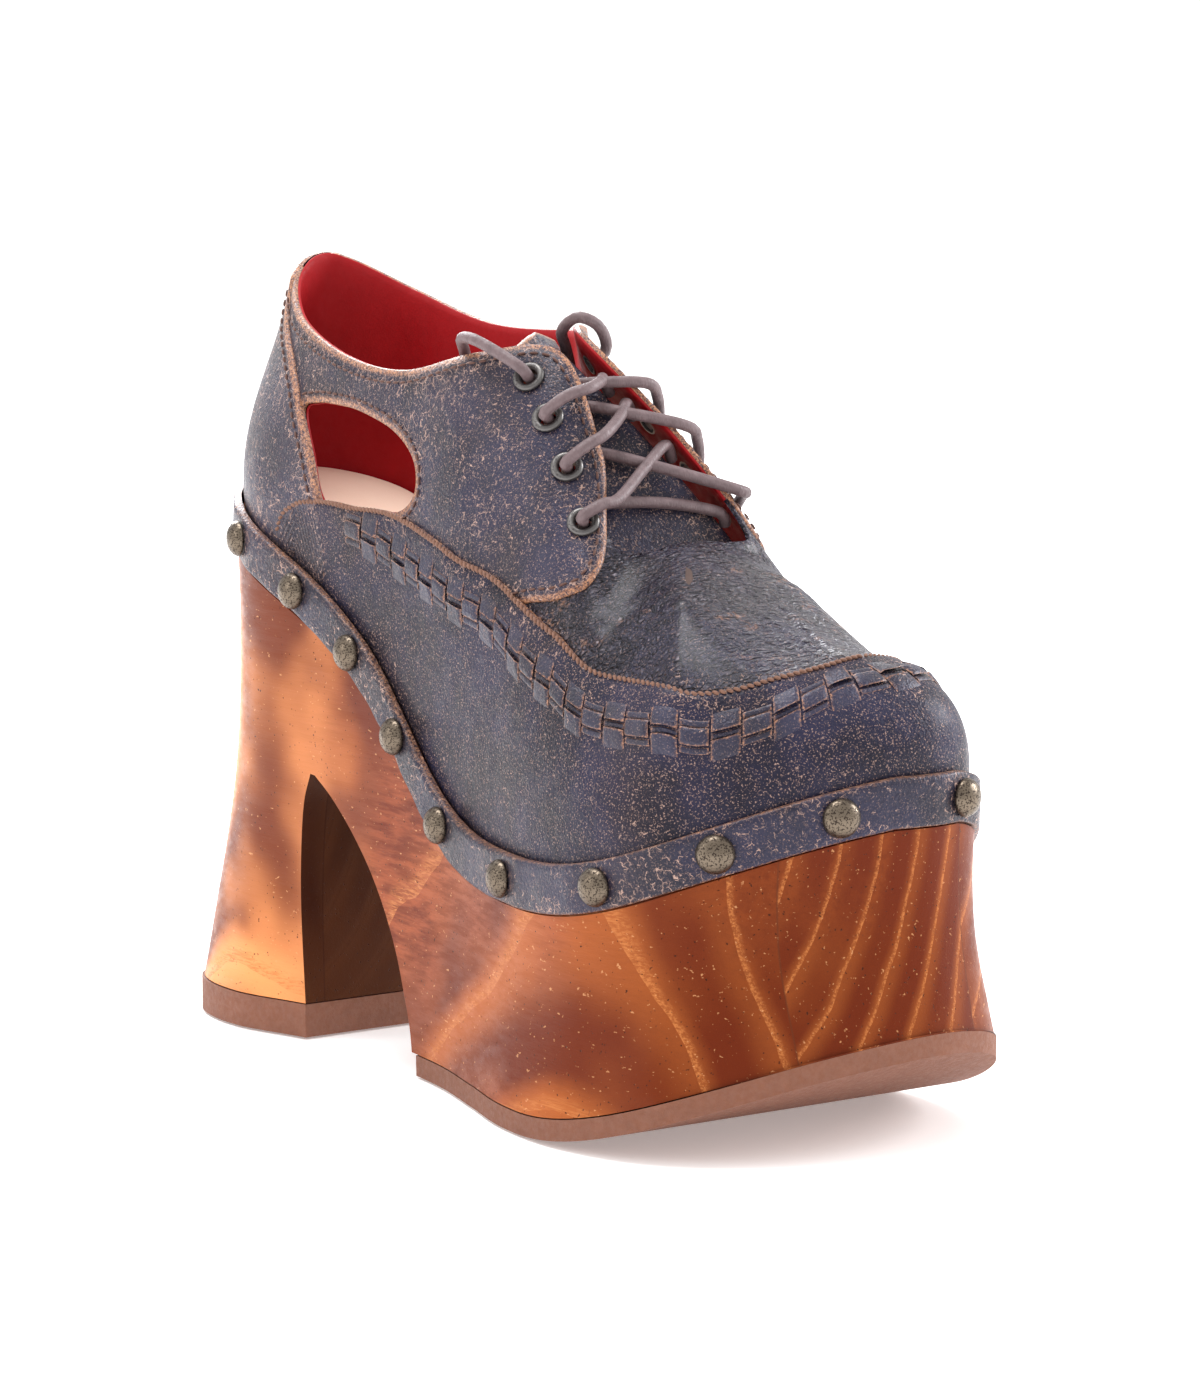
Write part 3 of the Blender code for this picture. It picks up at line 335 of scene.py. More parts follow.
def above(station, share, height):
    """Point over the upper's finished surface; a negative height is under it."""
    return last_surface(station, share)[0] + last_normal(station, share)[0] * height


# Small tools for paths and meshes

def walked_length(points):
    return np.concatenate([[0], np.cumsum(np.linalg.norm(np.diff(points, axis=0), axis=1))])


def evenly(points, spacing, closed=False):
    """Points at even spacing along a polyline."""
    points = np.asarray(points, float)
    if closed:
        points = np.vstack([points, points[:1]])
    walked = walked_length(points)
    count = max(2, round(walked[-1] / spacing))
    wanted = np.linspace(0, walked[-1], count + 1)
    if closed:
        wanted = wanted[:-1]
    return np.column_stack([np.interp(wanted, walked, points[:, k]) for k in range(points.shape[1])])


def rounded(corners, closed=False, steps=16):
    """Dense smooth curve through the corners."""
    corners = np.asarray(corners, float)
    if closed:
        ends = np.vstack([corners[-1:], corners, corners[:2]])
    else:
        ends = np.vstack([2 * corners[0] - corners[1], corners, 2 * corners[-1] - corners[-2]])
    fine = [catmull(*ends[k:k + 4], s)
            for k in range(len(ends) - 3) for s in np.linspace(0, 1, steps, endpoint=False)]
    return np.array(fine if closed else fine + [corners[-1]])


def smooth_route(corners, spacing):
    return evenly(rounded(corners, steps=24), spacing)


def inside(points, polygon):
    """True for each flat point within a closed polygon."""
    x, y = points[:, 0], points[:, 1]
    result = np.zeros(len(points), bool)
    for (x0, y0), (x1, y1) in zip(polygon, np.roll(polygon, -1, axis=0)):
        if y0 == y1:
            continue
        crosses = (y0 > y) != (y1 > y)
        result ^= crosses & (x < (x1 - x0) * (y - y0) / (y1 - y0) + x0)
    return result


def nearest(points, line):
    """Distance of each point from the nearest point of a dense line."""
    flat = points.shape[1] == 2
    tree = KDTree(len(line))
    for k, point in enumerate(line):
        tree.insert((*point, 0.0) if flat else point, k)
    tree.balance()
    return np.array([tree.find((*point, 0.0) if flat else point)[2] for point in points])


def grid_faces(rows, width, start=0):
    """Quads between neighbouring closed rows of points."""
    faces = []
    for row in range(rows - 1):
        a, b = start + row * width, start + (row + 1) * width
        for k in range(width):
            n = (k + 1) % width
            faces.append((a + k, a + n, b + n, b + k))
    return faces


def add_mesh(name, points, faces, material, attributes=None, smooth_angle=None):
    """Mesh object from points in millimetres, with a number for each point where given."""
    mesh = bpy.data.meshes.new(name)
    mesh.from_pydata(metres(points).tolist(), [], [list(map(int, face)) for face in faces])
    for key, values in (attributes or {}).items():
        layer = mesh.attributes.new(key, "FLOAT", "POINT")
        layer.data.foreach_set("value", np.asarray(values, float))
    mesh.materials.append(material)
    mesh.shade_smooth()
    if smooth_angle:
        mesh.set_sharp_from_angle(angle=math.radians(smooth_angle))
    obj = bpy.data.objects.new(name, mesh)
    link(obj)
    return obj


def aim(obj, where, upward):
    """Put an object at a place, its own Z axis turned to a direction, and link it."""
    obj.location = where
    obj.rotation_mode = "QUATERNION"
    obj.rotation_quaternion = upward.to_track_quat("Z", "Y")
    link(obj)
    return obj


def link(obj):
    bpy.context.scene.collection.objects.link(obj)


def place(obj, slot, *nodes):
    """The piece rides on the shoe and stands for CAD nodes; its slot is not used."""
    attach(obj, "root")
    if nodes:
        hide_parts(*nodes)
    return obj


# Leather panels, cut as flat patterns in station and share and laid on the last

PATTERN_HEIGHT = 62.0
RIDGE_ROUND = 16.0
RIDGE_PASSES = 160
RIDGE_PULL = 0.6
FAR_FROM_EDGE = 30.0
HOLE_SIDES = 20
PATTERN_STATIONS = np.linspace(-STATIONS, 2 * STATIONS, 6901)
PATTERN_WALK = walked_length(last_surface(PATTERN_STATIONS, 0.4))


def to_pattern(places):
    """Flat pattern millimetres for rows of station and share."""
    places = np.asarray(places, float)
    run = np.interp(places[:, 0], PATTERN_STATIONS, PATTERN_WALK)
    return columns(run, places[:, 1] * PATTERN_HEIGHT)


def from_pattern(points):
    return np.interp(points[:, 0], PATTERN_WALK, PATTERN_STATIONS), points[:, 1] / PATTERN_HEIGHT


def within(points, loops):
    """True for each point inside the first loop and outside the others, which are holes."""
    keep = inside(points, loops[0])
    for hole in loops[1:]:
        keep &= ~inside(points, hole)
    return keep


def pattern_mesh(border, holes, spacing, as_drawn=False):
    """Triangles filling a pattern outline, with holes left open."""
    loops = [evenly(to_pattern(loop), spacing * 0.8, closed=True) for loop in (border, *holes)]
    if as_drawn:
        loops[0] = to_pattern(border)
    low, high = loops[0].min(axis=0), loops[0].max(axis=0)
    rows = np.arange(low[1], high[1], spacing * 0.866)
    steps = np.arange(low[0], high[0], spacing)
    grid = np.vstack([columns(steps + (k % 2) * spacing / 2, y) for k, y in enumerate(rows)])
    grid = grid[within(grid, loops)]
    grid = grid[nearest(grid, np.vstack(loops)) > 0.62 * spacing]
    points = np.vstack(loops + [grid])
    edges, start = [], 0
    for loop in loops:
        edges += [(start + k, start + (k + 1) % len(loop)) for k in range(len(loop))]
        start += len(loop)
    flat, _, faces, *_ = delaunay_2d_cdt([Vector(p) for p in points], edges, [], 0, 1e-7)
    flat = np.array([tuple(p) for p in flat])
    faces = np.array([face for face in faces if len(face) == 3])
    return flat, faces[within(flat[faces].mean(axis=1), loops)]


def face_normals(points, faces):
    """Normal at each point, from the faces round it."""
    a, b, c = (points[faces[:, k]] for k in range(3))
    flat = np.cross(b - a, c - a)
    normals = np.zeros_like(points)
    for k in range(3):
        np.add.at(normals, faces[:, k], flat)
    return normals / np.maximum(np.linalg.norm(normals, axis=1), 1e-9)[:, None]


def face_sides(faces):
    return np.vstack([faces[:, [0, 1]], faces[:, [1, 2]], faces[:, [2, 0]]])


def close_ridge(points, faces, share, stations, reach):
    """Join the two halves of the vamp along the ridge and round off the fold between them."""
    turn = stations % STATIONS
    on_ridge = (share > 0.9999) & (turn > THROAT - 1e-6) & (turn < 2 * TOE - THROAT + 1e-6)
    found = np.flatnonzero(on_ridge)
    left, right = found[turn[found] <= TOE], found[turn[found] > TOE]
    target = np.arange(len(points))
    for k in right:
        gaps = np.linalg.norm(points[left] - points[k], axis=1)
        target[k] = left[np.argmin(gaps)]
    faces = target[faces]
    faces = faces[(faces != np.roll(faces, 1, axis=1)).all(axis=1)]
    weight = np.clip(1.2 - nearest(points, points[left]) / reach, 0, 1)[:, None]
    pairs = face_sides(faces)
    sides = np.sort(pairs, axis=1)
    _, places, counts = np.unique(sides, axis=0, return_index=True, return_counts=True)
    weight[sides[places[counts == 1]].ravel()] = 0
    here, there = np.vstack([pairs, pairs[:, ::-1]]).T
    count = np.maximum(np.bincount(here, minlength=len(points)), 1)[:, None]
    moved = points.copy()
    for _ in range(RIDGE_PASSES):
        total = np.column_stack([np.bincount(here, moved[there, k], len(points)) for k in range(3)])
        moved += (total / count - moved) * weight * RIDGE_PULL
    return moved, faces


def crease_depth(points, creases):
    """How far each point sinks into the creases: soft troughs with a low ridge beside them."""
    depth = np.zeros(len(points))
    for line, width, size in creases:
        gap = nearest(points, evenly(on_last(rounded(line, steps=10)), 1.0)) / width
        depth += size * (np.exp(-gap**2) - 0.45 * np.exp(-((gap - 1.9) / 0.8)**2))
    return depth


def panel(name, border, material, holes=(), level=0.0, thick=1.3, spacing=1.5, worn=(), creases=(),
          inner=False, ridge=0.0):
    """Leather piece on the last: its outer face at a level, with a rolled rim of its thickness."""
    flat, faces = pattern_mesh(border, holes, spacing, as_drawn=ridge > 0)
    stations, share = from_pattern(flat)
    points = last_surface(stations, share)
    if ridge:
        points, faces = close_ridge(points, faces, share, stations, ridge)
    normals = face_normals(points, faces)
    points = points + normals * level
    if creases:
        points = points - normals * crease_depth(points, creases)[:, None]
    edge = np.full(len(points), FAR_FROM_EDGE)
    for line in worn:
        edge = np.minimum(edge, nearest(points - normals * level, evenly(on_last(line), 0.7)))
    if inner:
        faces, normals = faces[:, ::-1], -normals
    points, faces, edge = add_rim(points, faces, normals, edge, thick)
    used = np.unique(np.concatenate([np.ravel(face) for face in faces]))
    new = np.full(len(points), -1)
    new[used] = np.arange(len(used))
    faces = [new[list(face)] for face in faces]
    obj = add_mesh(name, points[used], faces, material, {"edge": edge[used]})
    return place(obj, "upper_leather", "upper")


def add_rim(points, faces, normals, edge, thick):
    """Rolled rim along every free edge of a sheet of triangles."""
    lookup = {(int(a), int(b)) for a, b in face_sides(faces)}
    free = [(a, b) for a, b in lookup if (b, a) not in lookup]
    out = {}
    for a, b in free:
        run = points[b] - points[a]
        away = np.cross(run, normals[a])
        for k in (a, b):
            out[k] = out.get(k, 0) + away
    rings = {}
    extra_points, extra_edge = [], []
    roll = min(0.35, thick * 0.3)
    for k, away in out.items():
        away = away / max(np.linalg.norm(away), 1e-9)
        rings[k] = (len(points) + len(extra_points), len(points) + len(extra_points) + 1)
        extra_points.append(points[k] + away * roll * 0.7 - normals[k] * thick * 0.45)
        extra_points.append(points[k] + away * roll * 0.3 - normals[k] * thick)
        extra_edge += [min(0.0, edge[k]) if edge[k] < 1.0 else edge[k]] * 2
    lowered = points.copy()
    for k in out:
        lowered[k] = points[k] - normals[k] * min(0.18, thick * 0.2)
    quads = []
    for a, b in free:
        quads += [(b, a, rings[a][0], rings[b][0]), (rings[b][0], rings[a][0], rings[a][1], rings[b][1])]
    points = np.vstack([lowered, extra_points])
    return points, [tuple(f) for f in faces] + quads, np.concatenate([edge, extra_edge])


def around(station, share, radius):
    """Places round a point on the last, at a distance measured on the leather."""
    along = (last_surface(station + 0.01, share) - last_surface(station - 0.01, share))[0] / 0.02
    rising = (last_surface(station, share + 0.005) - last_surface(station, share - 0.005))[0] / 0.01
    frame = np.column_stack([along, rising])
    first = along / np.linalg.norm(along)
    second = rising - first * (rising @ first)
    second = second / np.linalg.norm(second)
    places = []
    for turn in np.linspace(0, 2 * math.pi, HOLE_SIDES, endpoint=False):
        step = (first * math.cos(turn) + second * math.sin(turn)) * radius
        change = np.linalg.lstsq(frame, step, rcond=None)[0]
        places.append((station + change[0], share + change[1]))
    return places


def cut_out_border(side, grow=1.0):
    """Smooth outline of a side cut-out, grown about its middle."""
    line = rounded(CUT_OUT, closed=True, steps=8)
    middle = line.mean(axis=0)
    return mirrored(middle + (line - middle) * grow, side)


def mirrored(line, side="medial"):
    """A lateral line on the wanted side."""
    line = np.asarray(line, float)
    return columns(on_side(line[:, 0], side), line[:, 1])


def counter_edge(count=40, low=0.0):
    share = np.linspace(low, 1.0, count)
    return columns(smooth_value(COUNTER_SHARE, COUNTER_STATION, share), share)


def quarter_edge():
    """Front edge of a quarter, rounded into the facing's edge at its top."""
    share = np.linspace(QUARTER_SHARE[0], 0.80, 30)
    low = columns(smooth_value(QUARTER_SHARE, QUARTER_STATION, share), share)
    return np.vstack([low, rounded([low[-1], *QUARTER_CORNER], steps=10)[1:]])


def mudguard_edge(start=EDGE_STATION[0], lower=0.0, end=TOE, count=160):
    station = np.linspace(start, end, count)
    return columns(station, edge_share(station) - lower)


def level_line(start, end, share, count):
    return columns(np.linspace(start, end, count), share)


def top_line(start, end, count=60):
    return level_line(start, end, 1.0, count)


def across(line):
    """A lateral line on the medial side, at stations that run on below the heel's."""
    return mirrored(line) - (STATIONS, 0)


def eyelet_holes(side):
    return [around(station, share, EYELET_TUBE / 2 + 0.1) for station, share in EYELETS[side]]


def build_counter(leather):
    lateral_edge = counter_edge()
    medial_edge = across(lateral_edge)
    top = top_line(lateral_edge[-1, 0], medial_edge[-1, 0])
    bottom = level_line(medial_edge[0, 0], lateral_edge[0, 0], 0.0, 60)
    border = np.vstack([lateral_edge, top[1:-1], medial_edge[::-1], bottom[1:-1]])
    panel("heel_counter", border, leather, thick=1.7, worn=(lateral_edge, medial_edge, top))


def build_quarter(side, leather):
    rear = counter_edge(low=0.2) - (0.35, 0)
    front = quarter_edge()
    top = top_line(rear[-1, 0], front[-1, 0], 90)
    bottom = mudguard_edge(start=2.9, end=front[0, 0], lower=0.09)[::-1]
    bottom = bottom[bottom[:, 0] > rear[0, 0] + 0.2]
    border = mirrored(np.vstack([rear, top[1:-1], front[::-1], bottom[1:]]), side)
    if side == "medial":
        border = border[::-1]
    worn = [mirrored(front, side), mirrored(top_line(0.5, front[-1, 0]), side), cut_out_border(side)]
    creases = [(mirrored(line, side), width, size) for line, width, size in QUARTER_CREASES]
    panel(f"quarter_{side}", border, leather, [cut_out_border(side), *eyelet_holes(side)],
          level=-QUARTER_STEP, worn=worn, creases=creases)


# Creases pressed in by wear: places along each, its width and its depth
QUARTER_CREASES = (
    (((4.5, 0.93), (4.9, 0.86), (5.15, 0.78)), 1.3, 0.45),
    (((4.75, 0.95), (5.1, 0.90), (5.35, 0.82)), 1.2, 0.40),
    (((5.0, 0.97), (5.35, 0.93), (5.6, 0.88)), 1.1, 0.35),
    (((5.3, 0.62), (5.9, 0.66), (6.5, 0.72)), 1.6, 0.30),
    (((5.9, 0.52), (6.5, 0.58), (7.0, 0.66)), 1.8, 0.35),
)
VAMP_CREASES = (
    (((7.9, 0.70), (8.6, 0.80), (9.6, 0.93), (14.4, 0.93), (15.4, 0.80)), 1.5, 0.45),
    (((8.1, 0.64), (8.9, 0.76), (10.2, 0.93), (13.8, 0.93), (15.1, 0.76)), 1.5, 0.50),
    (((8.3, 0.60), (9.1, 0.72), (10.7, 0.93), (13.3, 0.93), (14.9, 0.72)), 1.4, 0.40),
)
MUDGUARD_CREASES = (
    (((8.9, 0.16), (9.6, 0.26), (10.5, 0.42), (11.4, 0.58)), 9.0, 0.8),
)


def build_vamp(leather):
    """Apron panel that fills the middle of the forefoot."""
    share = np.linspace(QUARTER_SHARE[0], 1.0, 24)
    rear = columns(smooth_value(QUARTER_SHARE, QUARTER_STATION, share) - 0.5, share)
    low = mudguard_edge(start=rear[0, 0], lower=0.07)
    opened = top_line(rear[-1, 0], THROAT, 12)
    ridge = top_line(THROAT, 2 * TOE - THROAT, 121)
    top = np.vstack([opened[:-1], ridge, mirrored(opened)[::-1][1:]])
    border = np.vstack([low, mirrored(low[::-1])[1:], mirrored(rear)[1:], top[::-1], rear[::-1][1:-1]])
    worn = mudguard_edge(start=6.0)
    panel("vamp_apron", border, leather, level=-VAMP_STEP, thick=1.2, spacing=1.4,
          worn=(worn, mirrored(worn)), creases=VAMP_CREASES, ridge=RIDGE_ROUND)


def build_mudguard(leather):
    top = mudguard_edge()
    medial_top = mirrored(top)[::-1]
    bottom = level_line(medial_top[-1, 0], top[0, 0], 0.0, 200)
    border = np.vstack([top, medial_top[1:], bottom])
    panel("mudguard", border, leather, thick=2.1, worn=(top, medial_top), creases=MUDGUARD_CREASES)


def build_lining(red, dark):
    holes = []
    for side, shift in zip(SIDES, (0, -STATIONS)):
        for hole in (cut_out_border(side, 0.985), *eyelet_holes(side)):
            holes.append(np.asarray(hole) + (shift, 0))
    front = quarter_edge() - (0.03, 0)
    low = np.array([[6.2, 0.02], [6.2, 0.3]])
    top = top_line(front[-1, 0], across(front)[-1, 0], 120)
    bottom = level_line(across(low)[0, 0], low[0, 0], 0.02, 80)
    border = np.vstack([low, front, top[1:-1], across(front)[::-1], across(low)[::-1], bottom[1:-1]])
    panel("lining_rear", border, red, holes, level=-UPPER_WALL, thick=LINING_THICK, spacing=2.0, inner=True)
    ridge = top_line(THROAT, 2 * TOE - THROAT, 61)
    rear = columns(5.8, np.linspace(0.02, 0.62, 20))
    throat = rounded([(5.9, 0.62), (7.0, 0.68), (8.0, 0.78), (8.6, 0.90), (8.9, 0.98)])
    lateral_side = np.vstack([rear, throat])
    medial_side = mirrored(lateral_side)
    floor = level_line(medial_side[0, 0], 5.8, 0.02, 90)
    border = np.vstack([lateral_side, ridge, medial_side[::-1], floor[1:-1]])
    panel("lining_front", border, dark, level=-UPPER_WALL, thick=0.6, spacing=2.4, inner=True, ridge=7.0)


# Stitches: short raised threads along a line

def stitch_row(name, line, material, inset, length=2.0, gap=0.9, radius=0.34, level=0.0, slant=0.0,
               lift=0.1):
    """Row of stitches that keeps a distance inside a panel's edge."""
    line = np.asarray(line, float)
    normals = last_normal(line[:, 0], line[:, 1])
    runs = unit(np.gradient(on_last(line), axis=0))
    inward = np.cross(runs, normals)
    path = on_last(line) + inward * inset + normals * (level + lift)
    walked = walked_length(path)
    points, faces = [], []
    for start in np.arange(0.5 * gap, walked[-1] - length, length + gap):
        middle = start + 0.5 * length
        at, normal, run, side = (np.array([np.interp(middle, walked, values[:, k]) for k in range(3)])
                                 for values in (path, normals, runs, inward))
        run = run * math.cos(slant) + side * math.sin(slant)
        side = np.cross(normal, run)
        faces += grid_faces(len(STITCH_RINGS), STITCH_SIDES, len(points))
        for step, size in STITCH_RINGS:
            centre = at + run * (step - 0.5) * length + normal * (0.3 * radius * size)
            for turn in np.arange(STITCH_SIDES) * 2 * math.pi / STITCH_SIDES:
                points.append(centre + (side * math.cos(turn) + normal * math.sin(turn)) * radius * size)
    place(add_mesh(name, points, faces, material), "upper_leather", "upper")


def build_stitches(thread, tan_thread):
    for side, turn in zip(SIDES, (1.0, -1.0)):
        collar = mirrored(top_line(0.35, 5.2, 120), side)
        stitch_row(f"stitches_collar_{side}", collar, thread, 2.9 * turn, level=-0.45)
        facing = mirrored(np.vstack([top_line(5.2, 7.35, 80), quarter_edge()[::-1]]), side)
        stitch_row(f"stitches_facing_{side}", facing, thread, 2.6 * turn, level=-QUARTER_STEP)
        stitch_row(f"stitches_counter_{side}", mirrored(counter_edge(60, 0.34), side), thread, -2.7 * turn)
        edge = mirrored(mudguard_edge(start=2.42, count=300), side)
        stitch_row(f"stitches_apron_{side}", edge, tan_thread, 0.2 * turn, length=1.7, gap=-0.15,
                   radius=0.46, slant=0.6 * turn, lift=-0.12)
    ring = cut_out_border("lateral")
    ring = np.vstack([ring, ring[:1]])
    stitch_row("stitches_cut_out", ring[: int(0.72 * len(ring))], thread, -2.2, level=-QUARTER_STEP)


# Woven trim along the mudguard

CELL_GAP = 0.25
CELL_LENGTH = 7.1
TAB_HALF = 1.9
BAND_HALF = 3.7
WEAVE_RISE = 1.0


def weave_patch(start, end, low, high, height, open_low=True, open_high=True):
    """Grid over part of the band: run, rise, height and distance from its cut edges."""
    runs, rises = 8, 6
    grid = []
    for u in np.arange(runs + 1) / runs:
        for v in np.arange(rises + 1) / rises:
            cut = min(u, 1 - u, v if open_low else 1, 1 - v if open_high else 1)
            grid.append((start + (end - start) * u, low + (high - low) * v, height(u, v), cut * CELL_LENGTH))
    corners = [i * (rises + 1) + j for i in range(runs) for j in range(rises)]
    return grid, [(a, a + rises + 1, a + rises + 2, a + 1) for a in corners]


def tab_height(u, v):
    ends = np.clip(min(u, 1 - u) * 6, 0, 1)**0.5
    sides = np.clip(min(v, 1 - v) * 6, 0, 1)**0.5
    return 0.05 + WEAVE_RISE * (0.55 + 0.45 * ends) * (0.6 + 0.4 * sides)


def strip_height(u, v):
    return 0.06 + 0.22 * math.sin(math.pi * v)**0.5


def upper_flap(u, v):
    ends = np.clip(min(u, 1 - u) * 7, 0, 1)**0.5
    return -0.08 + (WEAVE_RISE + 0.08) * (1 - v)**0.8 * (0.45 + 0.55 * ends)


def lower_flap(u, v):
    return upper_flap(u, 1 - v)


WEAVE_CELLS = (
    ((-TAB_HALF, TAB_HALF, tab_height),
     (TAB_HALF + 0.35, BAND_HALF, strip_height),
     (-BAND_HALF, -TAB_HALF - 0.35, strip_height)),
    ((0.95, BAND_HALF + 1.8, upper_flap, True, False),
     (-BAND_HALF - 1.8, -0.95, lower_flap, False),
     (-0.7, 0.7, strip_height)),
)


def build_weave(leather):
    """Strips laced through the mudguard, cell by cell."""
    station = np.linspace(BAND_STATION[0], TOE, 400)
    line = columns(station, smooth_value(BAND_STATION, BAND_SHARE, station))
    line = np.vstack([line, mirrored(line)[::-1][1:]])
    walked = walked_length(on_last(line))
    reach = on_last(line + (0, 0.01)) - on_last(line)
    per_share = np.linalg.norm(reach, axis=1) / 0.01
    patches = []
    for cell in range(int(walked[-1] // CELL_LENGTH)):
        start, end = cell * CELL_LENGTH + CELL_GAP, (cell + 1) * CELL_LENGTH - CELL_GAP
        patches += [weave_patch(start, end, *strip) for strip in WEAVE_CELLS[cell % 2]]
    grid = np.vstack([patch[0] for patch in patches])
    count = len(patches[0][0])
    faces = [tuple(k * count + v for v in face) for k, patch in enumerate(patches) for face in patch[1]]
    run, up, lift, cut = grid.T
    where = np.interp(run, walked, line[:, 0])
    height = np.interp(run, walked, line[:, 1]) + up / np.interp(run, walked, per_share)
    points, normals = last_surface(where, height), last_normal(where, height)
    lift = lift - crease_depth(points, MUDGUARD_CREASES)
    points = points + normals * lift[:, None]
    place(add_mesh("woven_trim", points, faces, leather, {"edge": cut}), "upper_leather", "upper")


# Tongue, insole and rand

def tongue_rows():
    """Tongue's outer face: a row of points across for each section."""
    rows = []
    for station, low, crown in TONGUE:
        row = []
        for side in SIDES:
            shares = np.array([low, 0.5 * (low + 0.985), 0.985])
            where = np.full(3, float(on_side(station, side)))
            face = last_surface(where, shares) - last_normal(where, shares) * (UPPER_WALL + TONGUE_CLEAR)
            row.append(face if side == "lateral" else face[::-1])
        middle = 0.5 * (row[0][-1] + row[1][0]) + RIDGE_UP * crown
        rows.append(np.vstack([row[0], middle, row[1]]))
    last = rows[-1]
    level = last[:, 2].mean()
    for run, rise, flatter in TONGUE_TOP:
        row = last + np.array([run, 0.0, rise])
        row[:, 2] = level + rise + (last[:, 2] - level) * flatter
        rows.append(row)
    return np.array(rows)


def build_tongue(leather):
    across_rows = np.stack([rounded(row, steps=8) for row in tongue_rows()])
    grid = np.stack([rounded(across_rows[:, k], steps=8) for k in range(across_rows.shape[1])], axis=1)
    count, width = grid.shape[:2]
    corners = [r * width + c for r in range(count - 1) for c in range(width - 1)]
    faces = [(a, a + width, a + width + 1) for a in corners] + [(a, a + width + 1, a + 1) for a in corners]
    points, faces = grid.reshape(-1, 3), np.array(faces)
    normals = face_normals(points, faces)
    if normals[:, 2].mean() < 0:
        faces, normals = faces[:, ::-1], -normals
    edge = nearest(points, np.vstack([grid[:, 0], grid[-1], grid[::-1, -1], grid[0]]))
    top, top_faces, top_edge = add_rim(points, faces, normals, edge, TONGUE_THICK)
    points = np.vstack([top, points - normals * TONGUE_THICK])
    faces = top_faces + [tuple(len(top) + k for k in face[::-1]) for face in faces]
    obj = add_mesh("tongue_leather", points, faces, leather, {"edge": np.concatenate([top_edge, edge])})
    place(obj, "tongue_leather", "tongue")


def ring_loft(rings):
    """Points and faces between closed rings of equally many points."""
    return np.vstack(rings), grid_faces(len(rings), len(rings[0]))


def build_insole(leather):
    stations = np.linspace(0, STATIONS, 240, endpoint=False)
    edge = outline(stations, -RAND_THICK - FOOT_CLEAR - UPPER_WALL - INSOLE_CLEAR)
    middle = columns(np.clip(edge[:, 0], -100, 95), 2.0)
    rings = []
    for step in (0.25, 0.6, 0.9, 1.0):
        flat = middle + (edge - middle) * step
        rings.append(np.column_stack([flat, rand_top(flat[:, 0]) - SEAT_DROP + INSOLE_THICK]))
    rings[-1][:, 2] -= 0.5
    for drop in (1.0, INSOLE_THICK - 0.1):
        rings.append(np.column_stack([edge, rand_top(edge[:, 0]) - SEAT_DROP + INSOLE_THICK - drop]))
    points, faces = ring_loft(rings)
    count = len(stations)
    faces += [(k, k + 1, count - 2 - k, count - 1 - k) for k in range(count // 2 - 1)]
    place(add_mesh("insole_cover", points, faces, leather, smooth_angle=50), "insole_leather", "insole")


def stud_stations():
    """The photo's studs, then the hidden ones spaced evenly over the rest of the rim."""
    fine = np.linspace(0, 2 * STATIONS, 4601)
    path = outline(fine)
    path = np.column_stack([path, rand_top(path[:, 0])])
    walked = walked_length(path)
    start, end = np.interp((STUDS_SEEN[-1], STATIONS + STUDS_SEEN[0]), fine, walked)
    hidden = np.linspace(start, end, STUDS_HIDDEN + 2)[1:-1]
    return list(STUDS_SEEN) + list(np.interp(hidden, walked, fine))


def stud_centre(station):
    edge = outline(station)[0]
    return np.array([*edge, float(rand_top(edge[0])) - STUD_DROP])


def build_rand(leather):
    """Nailed leather strip, pulled in a little at each stud."""
    stations = np.linspace(0, STATIONS, 760, endpoint=False)
    top = rand_top(outline(stations)[:, 0])
    profile = ((-RAND_THICK, 0.0), (-1.2, 0.05), (-0.35, -0.1), (0.0, -0.6), (0.0, -2.0), (0.05, -4.0),
               (0.05, -6.0), (0.0, -8.5), (0.0, -10.0), (-0.1, -RAND_HEIGHT + 0.35), (-0.5, -RAND_HEIGHT),
               (-RAND_THICK, -RAND_HEIGHT))
    studs = np.array([stud_centre(station) for station in stud_stations()])
    rings, edge = [], []
    for out, drop in profile:
        gap = nearest(np.column_stack([outline(stations, out), top + drop]), studs)
        pull = 0.45 * np.exp(-(gap / 5.2)**2) - 0.18 * np.exp(-((gap - 9.0) / 3.0)**2)
        flat = outline(stations, out - np.where(out > -1.0, pull, 0))
        rings.append(np.column_stack([flat, top + drop]))
        edge.append(np.full(len(stations), min(-drop, RAND_HEIGHT + drop)))
    points, faces = ring_loft(rings)
    obj = add_mesh("rand_strip", points, faces, leather, {"edge": np.concatenate(edge)})
    return place(obj, "rand_leather", "rand")


# Wood and rubber

SPAN_ACROSS = 8
PRISM_HALF = 90.0
HEEL_SHARE = 0.36
HEEL_FRONT = -67.2
ARCH_CLEAR = 1.2


def wood_out(station, level):
    """How far the wood stands out of the rand's face, at a level from tread (0) to rand (1)."""
    size = smooth_value(FLARE_STATION, FLARE_SIZE, station)
    return size * smooth_value(FLARE_LEVEL, FLARE_SHARE, level) - WOOD_INSET


def footprint(out, shares):
    """Grid inside the outline: columns heel to toe, each from lateral to medial."""
    sides = []
    for stations in (shares * TOE, STATIONS - shares * (STATIONS - TOE)):
        sides.append(outline(stations, out(stations) if callable(out) else out))
    steps = np.linspace(0, 1, SPAN_ACROSS + 1)[None, :, None]
    return sides[0][:, None, :] * (1 - steps) + sides[1][:, None, :] * steps


def rim_stations(shares):
    medial_side = STATIONS - shares * (STATIONS - TOE)
    return np.concatenate([shares * TOE, medial_side[-2:0:-1]])


